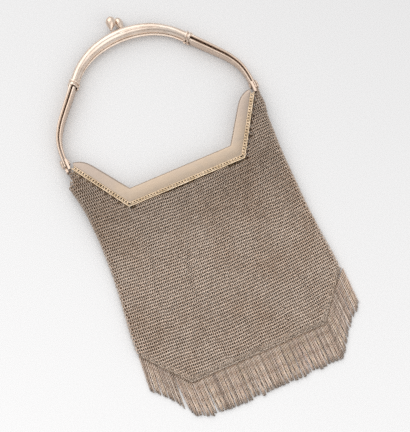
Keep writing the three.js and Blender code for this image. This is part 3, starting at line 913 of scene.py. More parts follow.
@dataclass(frozen=True)
class ChainSilver(Finish):
    """Fringe chains, rosy with some yellower ones, and darker towards their tips with painted shadow."""

    name: str = "chain_silver"
    rosy: Colour = (0.87, 0.695, 0.59)
    golden: Colour = (0.80, 0.665, 0.515)
    pale: Colour = (0.98, 0.86, 0.76)
    grey: Colour = (0.50, 0.405, 0.345)
    # tip: painted shadow, the dark colour of the chain tips
    tip: Colour = (0.34, 0.28, 0.24)
    cloud_scale: float = 45.0
    cloud_share: float = 0.3
    grain_scale: float = 2500.0
    grain_depth: float = 0.00002
    roughness: tuple[float, float] = (0.3, 0.45)

    def paint(self, sheet: NodeSheet, shader: bpy.types.Node) -> None:
        """Sets each chain's tone and darkens the tips with painted shadow.

        Args:
            sheet: The material's tree.
            shader: Its metal shader.
        """
        shader.inputs["Metallic"].default_value = 1.0
        own = self.ramp(
            sheet,
            self.carried(sheet, "tone"),
            (0.05, self.grey),
            (0.3, self.rosy),
            (0.6, self.golden),
            (0.7, self.rosy),
            (0.95, self.pale),
        )
        cloudy = self.noise(sheet, self.cloud_scale)
        clouds = self.ramp(sheet, cloudy, (0.3, self.rosy), (0.7, self.golden))
        body = self.blend(sheet, self.cloud_share, own, clouds)
        # Painted shadow: the last part of each chain darkens, standing in for the shadow under the fringe's
        # lower edge.
        ends = self.ramp(sheet, self.carried(sheet, "down"), (0.87, BLACK), (1.0, (0.95, 0.95, 0.95)))
        sheet.join(self.tint(sheet, ends, body, self.tip), shader.inputs["Base Color"])
        polish = self.between(sheet, self.carried(sheet, "tone"), *self.roughness)
        sheet.join(polish, shader.inputs["Roughness"])
        self.relief(sheet, shader, self.noise(sheet, self.grain_scale, 2), self.grain_depth)


@dataclass(frozen=True)
class PaperFloor(Finish):
    """The pale matt surface that the purse lies on."""

    name: str = "pale_paper"
    # falloff_light and shade: the ends of the light falloff painted across the paper
    falloff_light: Colour = (0.865, 0.865, 0.87)
    shade: Colour = (0.715, 0.715, 0.72)
    reach: float = 0.2
    fall: tuple[float, float] = (0.65, 0.76)
    cloud_scale: float = 6.0
    cloud_share: float = 0.1
    roughness: float = 0.95
    gloss: float = 0.1

    def paint(self, sheet: NodeSheet, shader: bpy.types.Node) -> None:
        """Paints a light falloff on the paper, a little darker towards the top right, and gives it a faint
        unevenness.

        Args:
            sheet: The material's tree.
            shader: Its surface shader.
        """
        shader.inputs["Roughness"].default_value = self.roughness
        shader.inputs["Specular IOR Level"].default_value = self.gloss
        parts = sheet.node("ShaderNodeSeparateXYZ")
        sheet.join(sheet.node("ShaderNodeTexCoord").outputs["Object"], parts.inputs[0])
        right, up = (share / (2 * self.reach) for share in self.fall)
        across = sheet.math("MULTIPLY", parts.outputs["X"], right)
        slope = sheet.math("MULTIPLY_ADD", parts.outputs["Y"], up, across)
        cloudy = self.noise(sheet, self.cloud_scale, 2)
        clouds = sheet.math("MULTIPLY_ADD", cloudy, self.cloud_share, 0.5 - self.cloud_share / 2)
        # Painted light: the paper runs from lit to shaded towards the top right, a lamp's falloff painted
        # into its colour.
        tone = self.ramp(sheet, sheet.math("ADD", slope, clouds), (0.0, self.falloff_light), (1.0, self.shade))
        sheet.join(tone, shader.inputs["Base Color"])


class Carrier:
    """Points, each with the directions and the lean of the link that it will carry."""

    def __init__(
        self, name: str, points: np.ndarray, along: np.ndarray, out: np.ndarray, lean: np.ndarray
    ) -> None:
        """Makes the carrier's mesh.

        Args:
            name: The mesh's name.
            points: Places in millimetres from the hinge axis, one a row.
            along: The direction of each link's row.
            out: The direction away from the surface.
            lean: Each link's lean, in radians.
        """
        self.mesh = bpy.data.meshes.new(name)
        self.mesh.from_pydata(PLACE.to_row(points).tolist(), [], [])
        for key, values in {"along": along, "out": out}.items():
            layer = self.mesh.attributes.new(key, "FLOAT_VECTOR", "POINT")
            layer.data.foreach_set("vector", np.asarray(values, np.float32).ravel())
        leans = self.mesh.attributes.new("lean", "FLOAT", "POINT")
        leans.data.foreach_set("value", np.asarray(lean, np.float32))


def report(piece: bpy.types.Object, slot: str, *nodes: str) -> bpy.types.Object:
    """Lets a finished piece ride on the purse and stand for its CAD nodes.

    Args:
        piece: The finished object.
        slot: The record's material slot; not used.
        *nodes: The CAD nodes that it stands for.

    Returns:
        The same object.
    """
    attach(piece, "root")
    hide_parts(*nodes)
    piece.data.calc_loop_triangles()
    log.info("%s: %d triangles, stands for %s", piece.name, len(piece.data.loop_triangles), ", ".join(nodes))
    return piece


def dressed(piece: bpy.types.Object, material: bpy.types.Material) -> bpy.types.Object:
    """Gives a piece its only material.

    Args:
        piece: The piece.
        material: Its finish.

    Returns:
        The same piece.
    """
    piece.data.materials.clear()
    piece.data.materials.append(material)
    return piece


@dataclass
class Handle:
    """The arch in two halves with its collars, and the arms down to the hinges."""

    jaw: Jaw
    span: float = 146.0
    rise: float = 75.1
    half_depth: float = 5.6
    face_clear: float = 0.02
    parting_gap: float = 0.4
    top_half_width: float = 4.0
    collar_half_width: float = 3.1
    collar_half_depth: float = 4.7
    reach: float = 52.0
    groove_span: tuple[float, float] = (-4.0, 32.0)
    groove_fade: float = 9.0
    groove_place: float = -0.22
    groove_share: float = 0.07
    groove_depth: float = 0.4
    bead_width: float = 1.9
    bead_pitch: float = 2.6
    bead_rise: float = 1.1
    bead_roundness: float = 0.96
    back_drop: float = 1.5
    back_lean: float = 0.6
    arm_thickness: tuple[float, float] = (2.1, 1.6)
    arm_gap: tuple[float, float] = (0.5, 0.45)
    arm_rounding: float = 0.47
    eye_radius: float = 3.7
    eye_edge: float = 0.35
    eye_sides: int = 28
    lug_top: float = 1.6
    solder: float = 0.3
    probe: float = 0.4
    arch_steps: int = 73
    bead_steps: int = 9
    arm_steps: int = 32
    line: tuple[tuple[float, float], ...] = (
        (0.0, 1.0),
        (0.178, 0.981),
        (0.342, 0.928),
        (0.493, 0.834),
        (0.616, 0.706),
        (0.712, 0.592),
        (0.803, 0.485),
        (0.901, 0.361),
        (0.964, 0.244),
        (0.99, 0.139),
        (1.0, 0.0),
    )
    curve: np.ndarray = field(init=False)
    lengths: np.ndarray = field(init=False)

    def __post_init__(self) -> None:
        """Draws the handle's middle line."""
        right = np.array(self.line) * [self.span / 2, self.rise]
        left = right[:0:-1] * [-1, 1]
        self.curve = smooth_curve(np.vstack([left, right]))
        steps = np.linalg.norm(np.diff(self.curve, axis=0), axis=1)
        self.lengths = np.concatenate([[0.0], np.cumsum(steps)])

    @property
    def half_length(self) -> float:
        """The way along the middle line from its top to a hinge."""
        return float(self.lengths[-1]) / 2

    def at(self, distance: float, half: Half) -> tuple[np.ndarray, np.ndarray]:
        """Finds a place on the handle.

        Args:
            distance: The way from the top, positive to the right.
            half: Which half of the handle. The back one sits lower and leans left.

        Returns:
            The place and the direction that points away from the loop.
        """
        want = np.clip(self.half_length + distance, 0, self.lengths[-1])
        spot = np.array([np.interp(want, self.lengths, self.curve[:, k]) for k in (0, 1)])
        near = np.clip([want - self.probe, want + self.probe], 0, self.lengths[-1])
        ends = np.array([[np.interp(w, self.lengths, self.curve[:, k]) for k in (0, 1)] for w in near])
        along = (ends[1] - ends[0]) / np.linalg.norm(ends[1] - ends[0])
        if half is Half.BACK:
            spot = spot - np.array([self.back_lean, self.back_drop]) * spot[1] / self.rise
        return spot, np.array([-along[1], along[0]])

    def half_tube(self, half_width: float, half_depth: float, half: Half, corners: int = 41) -> np.ndarray:
        """Draws the section of a half tube.

        Args:
            half_width: Half its width.
            half_depth: From the parting plane to its face.
            half: Which half of the frame it belongs to.
            corners: Steps round its face.

        Returns:
            Side and rise of each point, one a row.
        """
        angles = np.linspace(0, math.pi, corners)
        side = half_width * np.cos(angles)
        depth = (half_depth - self.parting_gap / 2) * np.sin(angles)
        return np.column_stack([side, half.value * (self.parting_gap / 2 + depth)])

    def arch_section(self, distance: float, half: Half, proud: float = 0.0) -> np.ndarray:
        """Draws the arch's section at a distance from its top.

        Args:
            distance: The way from the top, positive to the right.
            half: Which half of the arch.
            proud: By how much the section is thicker than the arch.

        Returns:
            Side and rise of each point, one a row.
        """
        share = smoothstep(abs(distance), 0, self.reach)
        width = self.top_half_width + (self.collar_half_width - self.top_half_width) * share
        depth = self.half_depth + (self.collar_half_depth - self.half_depth) * share
        depth = min(depth + proud, self.half_depth - self.face_clear)
        section = self.half_tube(width + proud, depth, half)
        if half is Half.FRONT and not proud:
            start, end = self.groove_span
            fade = smoothstep(distance, start, start + self.groove_fade)
            fade *= 1 - smoothstep(distance, end - self.groove_fade, end)
            near = np.abs(section[:, 0] / width - self.groove_place) / self.groove_share
            section[:, 1] -= self.groove_depth * fade * np.exp(-near * near)
        return section

    def sweep(
        self, draft: Draft, distances: np.ndarray, half: Half, section: Callable[[float], np.ndarray]
    ) -> None:
        """Adds a bar along the handle.

        Args:
            draft: The piece to add it to.
            distances: Where its rings stand.
            half: Which half of the handle it follows.
            section: A function of the distance that gives side and rise of each point.
        """
        rings = []
        for distance in distances:
            spot, outward = self.at(distance, half)
            rows = section(distance)
            flat = spot + rows[:, :1] * outward
            rings.append(np.column_stack([flat, PLACE.parting + rows[:, 1]]))
        draft.loft(np.array(rings))

    def bead_section(self, distance: float, middle: float, half: Half) -> np.ndarray:
        """Draws the section of a bead ring.

        Args:
            distance: The way from the arch's top, positive to the right.
            middle: The way to the bead's own middle.
            half: Which half of the arch.

        Returns:
            Side and rise of each point, one a row.
        """
        share = np.clip((distance - middle) / (self.bead_width / 2), -1, 1)
        swell = math.sqrt(1 - self.bead_roundness * share**2)
        return self.arch_section(distance, half, self.bead_rise * swell)

    def bead(self, draft: Draft, middle: float, half: Half) -> None:
        """Adds one bead ring round the arch.

        Args:
            draft: The piece to add it to.
            middle: The way from the arch's top to the bead.
            half: Which half of the arch.
        """
        shares = np.sin(np.linspace(-math.pi / 2, math.pi / 2, self.bead_steps))
        section = partial(self.bead_section, middle=middle, half=half)
        self.sweep(draft, middle + self.bead_width / 2 * shares, half, section)

    def arm_section(self, distance: float, half: Half) -> np.ndarray:
        """Draws the section of an arm, a flat bar on edge with rounded corners.

        Args:
            distance: The way from the arch's top, positive to the right.
            half: Which arm of the pair.

        Returns:
            Side and rise of each point, one a row.
        """
        share = (abs(distance) - self.reach) / (self.half_length - self.reach)
        gap = self.arm_gap[0] + (self.arm_gap[1] - self.arm_gap[0]) * share
        thick = self.arm_thickness[0] + (self.arm_thickness[1] - self.arm_thickness[0]) * share
        depth = self.collar_half_depth + (self.eye_radius - self.collar_half_depth) * smoothstep(share, 0, 1)
        corner = self.arm_rounding * thick
        rows = []
        for quarter, (side, rise) in enumerate(((1, 1), (-1, 1), (-1, -1), (1, -1))):
            for turn in np.linspace(0, math.pi / 2, 4):
                angle = quarter * math.pi / 2 + turn
                across = side * (thick / 2 - corner) + corner * math.cos(angle)
                up = rise * (depth - corner) + corner * math.sin(angle)
                rows.append((gap / 2 + thick / 2 + across, up))
        return np.array(rows) * [half.value, 1]

    def arm_at_hinge(self, half: Half) -> tuple[float, float]:
        """The near and the far face of an arm at the hinge, from the middle of the purse.

        Args:
            half: Which arm of the pair.

        Returns:
            The two distances.
        """
        near = self.arm_gap[1] / 2
        far = near + self.arm_thickness[1]
        if half is Half.FRONT:
            return self.span / 2 + near, self.span / 2 + far
        return self.span / 2 - far, self.span / 2 - near

    def eye(self, draft: Draft, side: Side, half: Half) -> None:
        """Adds the round end of an arm, and the lug below it that carries the jaw.

        Args:
            draft: The piece to add them to.
            side: Which side of the purse.
            half: Which arm of the pair.
        """
        near, far = self.arm_at_hinge(half)
        radius, edge, width = self.eye_radius, self.eye_edge, far - near
        profile = [(radius - edge, 0), (radius, edge), (radius, width - edge), (radius - edge, width)]
        middle = np.array([side.value * near, 0.0, PLACE.parting])
        draft.turn(np.array(profile), middle, np.array([side.value, 0.0, 0.0]), self.eye_sides)
        face = PLACE.parting - half.value * self.half_depth
        top, foot = self.lug_top, -self.jaw.lug
        rows = np.array([(top, PLACE.parting), (top, face), (foot, face), (foot, PLACE.parting)])
        ends = [np.column_stack([np.full(len(rows), side.value * x), rows]) for x in (near, far)]
        draft.loft(np.array(ends))

    def build(self, half: Half) -> bpy.types.Object:
        """Builds one half of the handle as a soldered piece.

        Args:
            half: Which half of the frame.

        Returns:
            The half.
        """
        draft = Draft()
        end = self.reach + self.bead_pitch / 2 + self.bead_width / 2
        places = np.linspace(-end, end, self.arch_steps)
        self.sweep(draft, places, half, partial(self.arch_section, half=half))
        for side in Side:
            for place in (-0.5, 0.5):
                self.bead(draft, side.value * (self.reach + place * self.bead_pitch), half)
            distances = side.value * np.linspace(end - self.solder, self.half_length, self.arm_steps)
            self.sweep(draft, distances, half, partial(self.arm_section, half=half))
            self.eye(draft, side, half)
        return draft.to_object(f"{half.name.lower()}_handle")

    def dress(self, material: bpy.types.Material) -> None:
        """Builds and reports both halves."""
        report(dressed(self.build(Half.FRONT), material), "frame_metal", "frame_front")
        report(dressed(self.build(Half.BACK), material), "frame_metal", "frame_back")


@dataclass
class HingeRivets:
    """The rivets with their domed heads, on which the arms turn."""

    handle: Handle
    shank: float = 1.3
    outer_head: tuple[float, float] = (3.4, 1.6)
    inner_head: tuple[float, float] = (2.4, 1.0)
    gap: float = 0.3
    dome: tuple[tuple[float, float], ...] = (
        (1.0, 0.0),
        (1.0, 0.35),
        (0.86, 0.7),
        (0.55, 0.92),
        (0.12, 1.0),
    )

    def build(self, side: Side) -> bpy.types.Object:
        """Builds one rivet.

        Args:
            side: Which side of the purse.

        Returns:
            The rivet.
        """
        draft = Draft()
        outer = self.handle.arm_at_hinge(Half.FRONT)[1] + self.gap
        inner = self.handle.arm_at_hinge(Half.BACK)[0] - self.gap
        axis = np.array([side.value, 0.0, 0.0])
        dome = np.array(self.dome)
        shank = np.array([(self.shank, 0), (self.shank, outer - inner)])
        outer_end, inner_end = (np.array([side.value * x, 0.0, PLACE.parting]) for x in (outer, inner))
        draft.turn(dome * self.outer_head, outer_end, axis)
        draft.turn(shank, inner_end, axis)
        draft.turn(dome * self.inner_head, inner_end, -axis)
        return draft.to_object(f"{side.name.lower()}_rivet")

    def dress(self, material: bpy.types.Material) -> None:
        """Builds and reports both rivets."""
        for side in Side:
            report(dressed(self.build(side), material), "frame_metal", f"hinge_pin_{side.name.lower()}")


@dataclass
class KissClasp:
    """The two balls that snap past each other on top of the arch."""

    handle: Handle
    radii: tuple[float, float] = (3.55, 3.05)
    lengths: tuple[float, float] = (11.0, 11.2)
    foot_gap: float = 0.4
    offsets: tuple[float, float] = (-4.3, 4.0)
    face_offset: float = 2.35
    leans: tuple[float, float] = (0.34, -0.07)
    sides: int = 28
    crease: float = 60.0
    profile: tuple[tuple[float, float], ...] = (
        (0.2, 0.0),
        (0.25, 0.06),
        (0.4, 0.16),
        (0.6, 0.27),
        (0.8, 0.39),
        (0.95, 0.51),
        (1.0, 0.61),
        (0.97, 0.71),
        (0.87, 0.81),
        (0.68, 0.9),
        (0.42, 0.965),
        (0.1, 1.0),
    )

    def build(self, half: Half) -> bpy.types.Object:
        """Builds one ball, on the half of the arch that carries it.

        Args:
            half: Which half of the arch.

        Returns:
            The ball.
        """
        index = 0 if half is Half.FRONT else 1
        radius, length = self.radii[index], self.lengths[index]
        spot, _ = self.handle.at(0, half)
        foot = np.array(
            [
                self.offsets[index],
                spot[1] + self.handle.top_half_width + self.foot_gap,
                PLACE.parting + half.value * self.face_offset,
            ]
        )
        draft = Draft()
        axis = np.array([self.leans[index], 1.0, 0.0])
        draft.turn(np.array(self.profile) * [radius, length], foot, axis, self.sides)
        return draft.to_object(f"{half.name.lower()}_clasp_ball", self.crease)

    def dress(self, material: bpy.types.Material) -> None:
        """Builds and reports both balls."""
        for half in Half:
            report(dressed(self.build(half), material), "frame_metal", f"clasp_knob_{half.name.lower()}")


@dataclass
class Jaw:
    """The outline that the jaw plates, their rims and the lacing share."""

    drop: float = 46.0
    foot_half: float = 42.9
    tip_half: float = 68.6
    tip_drop: float = 5.2
    step_drop: float = 36.0
    step_half: float = 38.6
    sheet: float = 1.0
    rounding: float = 2.0
    edge_rounding: float = 0.6
    lug: float = 6.4
    bend_start: float = 0.15
    bend_steps: int = 5
    shoulder: tuple[tuple[float, float], ...] = (
        (0.0, 1.0),
        (0.57, 0.3),
        (0.71, 0.17),
        (0.85, 0.1),
        (0.97, 0.083),
        (0.995, 0.11),
    )

    @property
    def foot(self) -> np.ndarray:
        """The lower right corner of the smooth plate."""
        return np.array([self.foot_half, -self.drop])

    @property
    def tip(self) -> np.ndarray:
        """The right end of the smooth plate."""
        return np.array([self.tip_half, -self.tip_drop])

    @property
    def flank(self) -> np.ndarray:
        """The direction away from the plate at its right side."""
        along = (self.tip - self.foot) / np.linalg.norm(self.tip - self.foot)
        return np.array([along[1], -along[0]])

    def line(self, offset: float) -> np.ndarray:
        """Draws the line at a distance outside the plate, from the left tip to the right one.

        Args:
            offset: The distance from the plate's outer edge.

        Returns:
            The line's four corners, one a row.
        """
        along = np.array([-self.flank[1], self.flank[0]])
        tip = self.tip + self.flank * offset
        foot_y = -self.drop - offset
        foot = np.array([tip[0] + (foot_y - tip[1]) * along[0] / along[1], foot_y])
        return np.array([tip * [-1, 1], foot * [-1, 1], foot, tip])

    def distance(self, x: np.ndarray, y: np.ndarray) -> np.ndarray:
        """How far points lie outside the plate's outer edge, negative between the jaws."""
        side = (np.abs(x) - self.foot[0]) * self.flank[0] + (y - self.foot[1]) * self.flank[1]
        return np.maximum(-self.drop - y, side)

    def stations(self) -> tuple[np.ndarray, np.ndarray]:
        """Pairs the plate's inner and outer edge.

        Returns:
            The points of the inner and of the outer edge, from the left tip to the right one.
        """
        step = np.array([self.step_half, -self.step_drop])
        rows = np.array(self.shoulder)
        points = np.column_stack(
            [step[0] + (self.tip_half - step[0]) * rows[:, 0], -self.step_drop * rows[:, 1]]
        )
        straight = points[0] + (points[1] - points[0]) * np.linspace(0, 1, 6)[:-1, None]
        before = points[1] - self.bend_start * (points[1] - points[0])
        bend = smooth_curve(np.vstack([before, points[1:]]), self.bend_steps)[self.bend_steps :]
        inner = np.vstack([straight, bend])
        way = np.concatenate([[0], np.cumsum(np.linalg.norm(np.diff(inner, axis=0), axis=1))])
        outer = self.foot + (self.tip - self.foot) * (way / way[-1])[:, None]
        middle = np.linspace(0, 1, 5)[:-1, None]
        inner = np.vstack([np.array([0, -self.step_drop]) + middle * [self.step_half, 0], inner])
        outer = np.vstack([np.array([0, -self.drop]) + middle * [self.foot_half, 0], outer])
        flip = np.array([-1, 1])
        return np.vstack([inner[:0:-1] * flip, inner]), np.vstack([outer[:0:-1] * flip, outer])


@dataclass
class JawPlate:
    """One jaw: the smooth plate, its pierced rim, the rod and the links that lace the mesh to it."""

    jaw: Jaw
    handle: Handle
    rim_width: float = 1.6
    rim_sheet: float = 0.8
    rim_step: float = 0.5
    hole_pitch: float = 2.15
    hole_length: float = 1.15
    rail: float = 0.35
    rod_radius: float = 0.42
    rod_offset: float = 2.35
    rod_sides: int = 10
    wall_foot: float = 0.3
    tuck: float = 0.9
    edge: float = 0.12
    crease: float = 28.0
    lacing_wire: float = 0.24
    lacing_half: tuple[float, float] = (0.5, 1.3)
    lacing_offset: float = 1.75
    lacing_lean: float = math.radians(76)
    lacing_slant: float = math.radians(24)
    lacing_sides: tuple[int, int] = (10, 5)
    lean_play: float = 0.12
    turn_play: float = 0.1
    size_play: float = 0.05
    bend_share: float = 0.42
    edge_share: float = 0.2
    sheet_share: float = 0.36
    inner_bend: float = 0.6
    bar_overlap: float = 0.2
    bar_sink: float = 0.16
    end_share: float = 0.4
    rung_seed: int = 3
    lacing_seed: int = 11

    @property
    def rim_middle(self) -> float:
        """The rim's middle above the parting plane."""
        return self.handle.half_depth - self.rim_step - self.rim_sheet / 2

    def height(self, rise: float | np.ndarray, half: Half) -> float | np.ndarray:
        """Turns a height above the parting plane into one above the surface."""
        return PLACE.parting + half.value * rise

    def plate(self, half: Half) -> Draft:
        """Draws the smooth plate with its rounded edges and the wall along its inner edge.

        Args:
            half: Which jaw.

        Returns:
            The plate's draft.
        """
        draft = Draft()
        rings = []
        top = self.handle.half_depth
        low = self.handle.parting_gap / 2
        for near, far in zip(*self.jaw.stations()):
            width = float(np.linalg.norm(far - near))
            across = (far - near) / width
            bend = min(self.jaw.rounding, self.bend_share * width)
            edge = min(self.jaw.edge_rounding, self.edge_share * width)
            sheet = min(self.jaw.sheet, self.sheet_share * width)
            turn = np.linspace(0, math.pi / 2, 7)
            rows = [(0.0, low)]
            rows += [(bend - bend * math.cos(a), top - bend + bend * math.sin(a)) for a in turn]
            rows += [(width - edge + edge * math.sin(a), top - edge + edge * math.cos(a)) for a in turn[::2]]
            foot = top - sheet - self.wall_foot
            rows += [(width, foot), (width - sheet, foot)]
            inner = self.inner_bend * bend
            rows += [(sheet + inner, top - sheet), (sheet, top - sheet - inner), (sheet, low)]
            table = np.array(rows)
            flat = near + table[:, :1] * across
            rings.append(np.column_stack([flat, self.height(table[:, 1], half)]))
        draft.loft(np.array(rings))
        return draft

    def band(
        self, draft: Draft, offsets: tuple[float, float], rises: tuple[float, float], half: Half
    ) -> None:
        """Adds a flat band along the jaw.

        Args:
            draft: The piece to add it to.
            offsets: Its near and far edge, outside the plate's outer edge.
            rises: Its lower and upper face above the parting plane.
            half: Which jaw it belongs to.
        """
        near, far = self.jaw.line(offsets[0]), self.jaw.line(offsets[1])
        inset = (far - near) * self.edge / (offsets[1] - offsets[0])
        z = self.height(np.array(rises), half)
        lift = half.value * self.edge
        rings = []
        for a, b, step in zip(near, far, inset):
            corners = [
                (*(a + step), z[0]),
                (*a, z[0] + lift),
                (*a, z[1] - lift),
                (*(a + step), z[1]),
                (*(b - step), z[1]),
                (*b, z[1] - lift),
                (*b, z[0] + lift),
                (*(b - step), z[0]),
            ]
            rings.append(np.array(corners))
        draft.loft(np.array(rings))

    def rod(self, draft: Draft, half: Half) -> None:
        """Adds the rod beside the rim.

        Args:
            draft: The piece to add it to.
            half: Which jaw.
        """
        near = self.jaw.line(self.rod_offset - self.rod_radius)
        far = self.jaw.line(self.rod_offset + self.rod_radius)
        rings = []
        angles = np.linspace(0, 2 * math.pi, self.rod_sides, endpoint=False)
        heights = self.height(self.rim_middle + self.rod_radius * np.sin(angles), half)
        for a, b in zip(near, far):
            flat = (a + b) / 2 + np.cos(angles)[:, None] * (b - a) / 2
            rings.append(np.column_stack([flat, heights]))
        draft.loft(np.array(rings))

    def posts(self, offset: float, pitch: float, lean: float, half: Half, slant: float = 0.0) -> Carrier:
        """Sets points along the jaw at an even pitch.

        Args:
            offset: The distance of their line from the plate's outer edge.
            pitch: The way from one to the next.
            lean: The lean of what they carry, in radians.
            half: Which jaw they belong to.
            slant: How far what they carry turns from the jaw's own direction, in radians.

        Returns:
            The points with their directions.
        """
        corners = self.jaw.line(offset)
        places, ways = [], []
        for start, end in zip(corners[:-1], corners[1:]):
            length = float(np.linalg.norm(end - start))
            along = (end - start) / length
            count = int((length - self.end_share * pitch) // pitch)
            steps = (length - count * pitch) / 2 + (np.arange(count) + 0.5) * pitch
            places.append(start + steps[:, None] * along)
            turned = along * math.cos(slant) + np.array([-along[1], along[0]]) * math.sin(slant)
            ways.append(np.tile(turned, (count, 1)))
        flat, way = np.vstack(places), np.vstack(ways)
        rises = np.full(len(flat), self.height(self.rim_middle, half))
        out = np.tile([0.0, 0.0, float(half.value)], (len(flat), 1))
        return Carrier(
            "posts",
            np.column_stack([flat, rises]),
            np.column_stack([way, np.zeros(len(way))]),
            out,
            np.full(len(flat), lean),
        )

    def build(
        self, half: Half, rungs: RungRecipe, links: LinkRecipe, material: bpy.types.Material
    ) -> list[bpy.types.Object]:
        """Builds the plate, its rim, the rod and the lacing of one jaw.

        Args:
            half: Which jaw.
            rungs: Makes the bars between the rim's holes.
            links: Makes the lacing links.
            material: The lacing's finish.

        Returns:
            The plate, then the pieces of the rim and the lacing.
        """
        name = half.name.lower()
        plate = self.plate(half).to_object(f"{name}_jaw_plate", self.crease)
        top = self.handle.half_depth - self.rim_step
        rises = (top - self.rim_sheet, top)
        rim = Draft()
        self.band(rim, (-self.tuck, self.rail), rises, half)
        self.band(rim, (self.rim_width - self.rail, self.rim_width), rises, half)
        rails = rim.to_object(f"{name}_rim_rails")
        hole_across = self.rim_width - 2 * self.rail
        bars = rungs.cook(
            f"{name}_rim_bars",
            self.posts(self.rim_width / 2, self.hole_pitch, 0.0, half).mesh,
            Width=(self.hole_pitch - self.hole_length) * METRES_PER_MM,
            Length=(hole_across + self.bar_overlap) * METRES_PER_MM,
            Thickness=(self.rim_sheet - self.bar_sink) * METRES_PER_MM,
            Seed=self.rung_seed,
            Material=material,
        )
        rod = Draft()
        self.rod(rod, half)
        wire = rod.to_object(f"{name}_rod")
        lacing = self.posts(self.lacing_offset, self.hole_pitch, self.lacing_lean, half, self.lacing_slant)
        loops = links.cook(
            f"{name}_lacing",
            lacing.mesh,
            Half_Width=self.lacing_half[0] * METRES_PER_MM,
            Half_Length=self.lacing_half[1] * METRES_PER_MM,
            Wire_Radius=self.lacing_wire * METRES_PER_MM,
            Lean_Play=self.lean_play,
            Turn_Play=self.turn_play,
            Size_Play=self.size_play,
            Link_Sides=self.lacing_sides[0],
            Wire_Sides=self.lacing_sides[1],
            Seed=self.lacing_seed,
            Material=material,
        )
        return [plate, rails, bars, wire, loops]

    def dress(
        self, rungs: RungRecipe, links: LinkRecipe, satin: bpy.types.Material, brass: bpy.types.Material
    ) -> None:
        """Builds and reports both jaws. Each belongs to the arch's other half, as scissors cross.

        Args:
            rungs: Makes the bars between the rims' holes.
            links: Makes the lacing links.
            satin: The plates' finish.
            brass: The finish of the rims and the lacing.
        """
        for half in Half:
            carrier = "frame_back" if half is Half.FRONT else "frame_front"
            plate, rails, bars, wire, loops = self.build(half, rungs, links, brass)
            report(dressed(plate, satin), "frame_metal", carrier)
            report(dressed(rails, brass), "frame_metal", carrier)
            report(bars, "frame_metal", carrier)
            report(dressed(wire, brass), "rod_metal", f"jaw_rod_{half.name.lower()}")
            report(loops, "rod_metal", f"jaw_rod_{half.name.lower()}")


@dataclass
class BagForm:
    """The closed form of the mesh bag, and the hem's outline below it."""

    waist_half: float = 72.6
    top_drop: float = 7.2
    shoulder_half: float = 76.5
    shoulder_drop: float = 147.0
    foot_half: float = 50.4
    foot_drop: float = 178.6
    mouth_depth: float = 10.9
    sway: float = -2.4
    lay: tuple[float, float] = (-0.7, -0.9)
    lay_fade: tuple[float, float] = (20.0, 42.0)
    sway_rise: tuple[float, float] = (60.0, 150.0)
    band_width: float = 3.4
    corner_band: float = 1.7
    band_depth: float = 3.6
    sections: tuple[tuple[float, float, float], ...] = (
        (0.0, 1.035, 1.0),
        (0.07, 1.06, 1.0),
        (0.15, 1.03, 1.0),
        (0.24, 1.01, 1.0),
        (0.31, 1.0, 0.96),
        (0.4, 0.995, 0.78),
        (0.52, 0.997, 0.62),
        (0.66, 1.005, 0.52),
        (0.8, 1.025, 0.46),
        (0.92, 1.046, 0.43),
        (1.0, 1.054, 0.41),
        (1.44, 1.06, 0.38),
        (2.05, 1.07, 0.35),
    )

    def section(self, drop: np.ndarray) -> tuple[np.ndarray, np.ndarray]:
        """Finds the half-width and the depth of the bag at a drop below the hinge axis.

        Args:
            drop: The drops, in any shape.

        Returns:
            The half-widths and the depths, of the same shape.
        """
        rows = np.array(self.sections)
        upper = self.top_drop + np.minimum(rows[:, 0], 1) * (self.shoulder_drop - self.top_drop)
        drops = upper + np.maximum(rows[:, 0] - 1, 0) * (self.foot_drop - self.shoulder_drop)
        fine = smooth_curve(np.column_stack([drops, rows[:, 1], rows[:, 2]]), 8)
        half_width = np.interp(drop, fine[:, 0], fine[:, 1]) * self.waist_half
        depth = np.interp(drop, fine[:, 0], fine[:, 2]) * self.mouth_depth
        return half_width, depth

    def sway_at(self, y: np.ndarray) -> np.ndarray:
        """The sideways shift of the bag where it was laid down."""
        top = 1 - smoothstep(-y, *self.lay_fade)
        return self.lay[0] * top + self.lay[1] + self.sway * smoothstep(-y, *self.sway_rise)

    @property
    def corner_way(self) -> np.ndarray:
        """The direction of the right cut corner, from the foot up to the shoulder."""
        way = np.array([self.shoulder_half - self.foot_half, self.foot_drop - self.shoulder_drop])
        return way / np.linalg.norm(way)

    def above_hem(self, x: np.ndarray, y: np.ndarray) -> np.ndarray:
        """How far points lie inside the hem's band, which is narrower on the cut corners.

        Args:
            x: Their places across the bag, without its sway.
            y: Their heights from the hinge axis.

        Returns:
            The distances, negative on the band.
        """
        along = self.corner_way
        corner = -(np.abs(x) - self.foot_half) * along[1] + (y + self.foot_drop) * along[0]
        return np.minimum(y + self.foot_drop - self.band_width, corner - self.corner_band)

    def hem_line(self, inset: float) -> np.ndarray:
        """Draws the hem's outline, from the left shoulder to the right one.

        Args:
            inset: By how much it is drawn in.

        Returns:
            The outline's four corners, one a row.
        """
        along = self.corner_way
        inward = np.array([-along[1], along[0]])
        shoulder = np.array([self.shoulder_half, -self.shoulder_drop]) + inward * inset
        foot_y = -self.foot_drop + inset
        foot = shoulder + along * (foot_y - shoulder[1]) / along[1]
        return np.array([shoulder * [-1, 1], foot * [-1, 1], foot, shoulder])


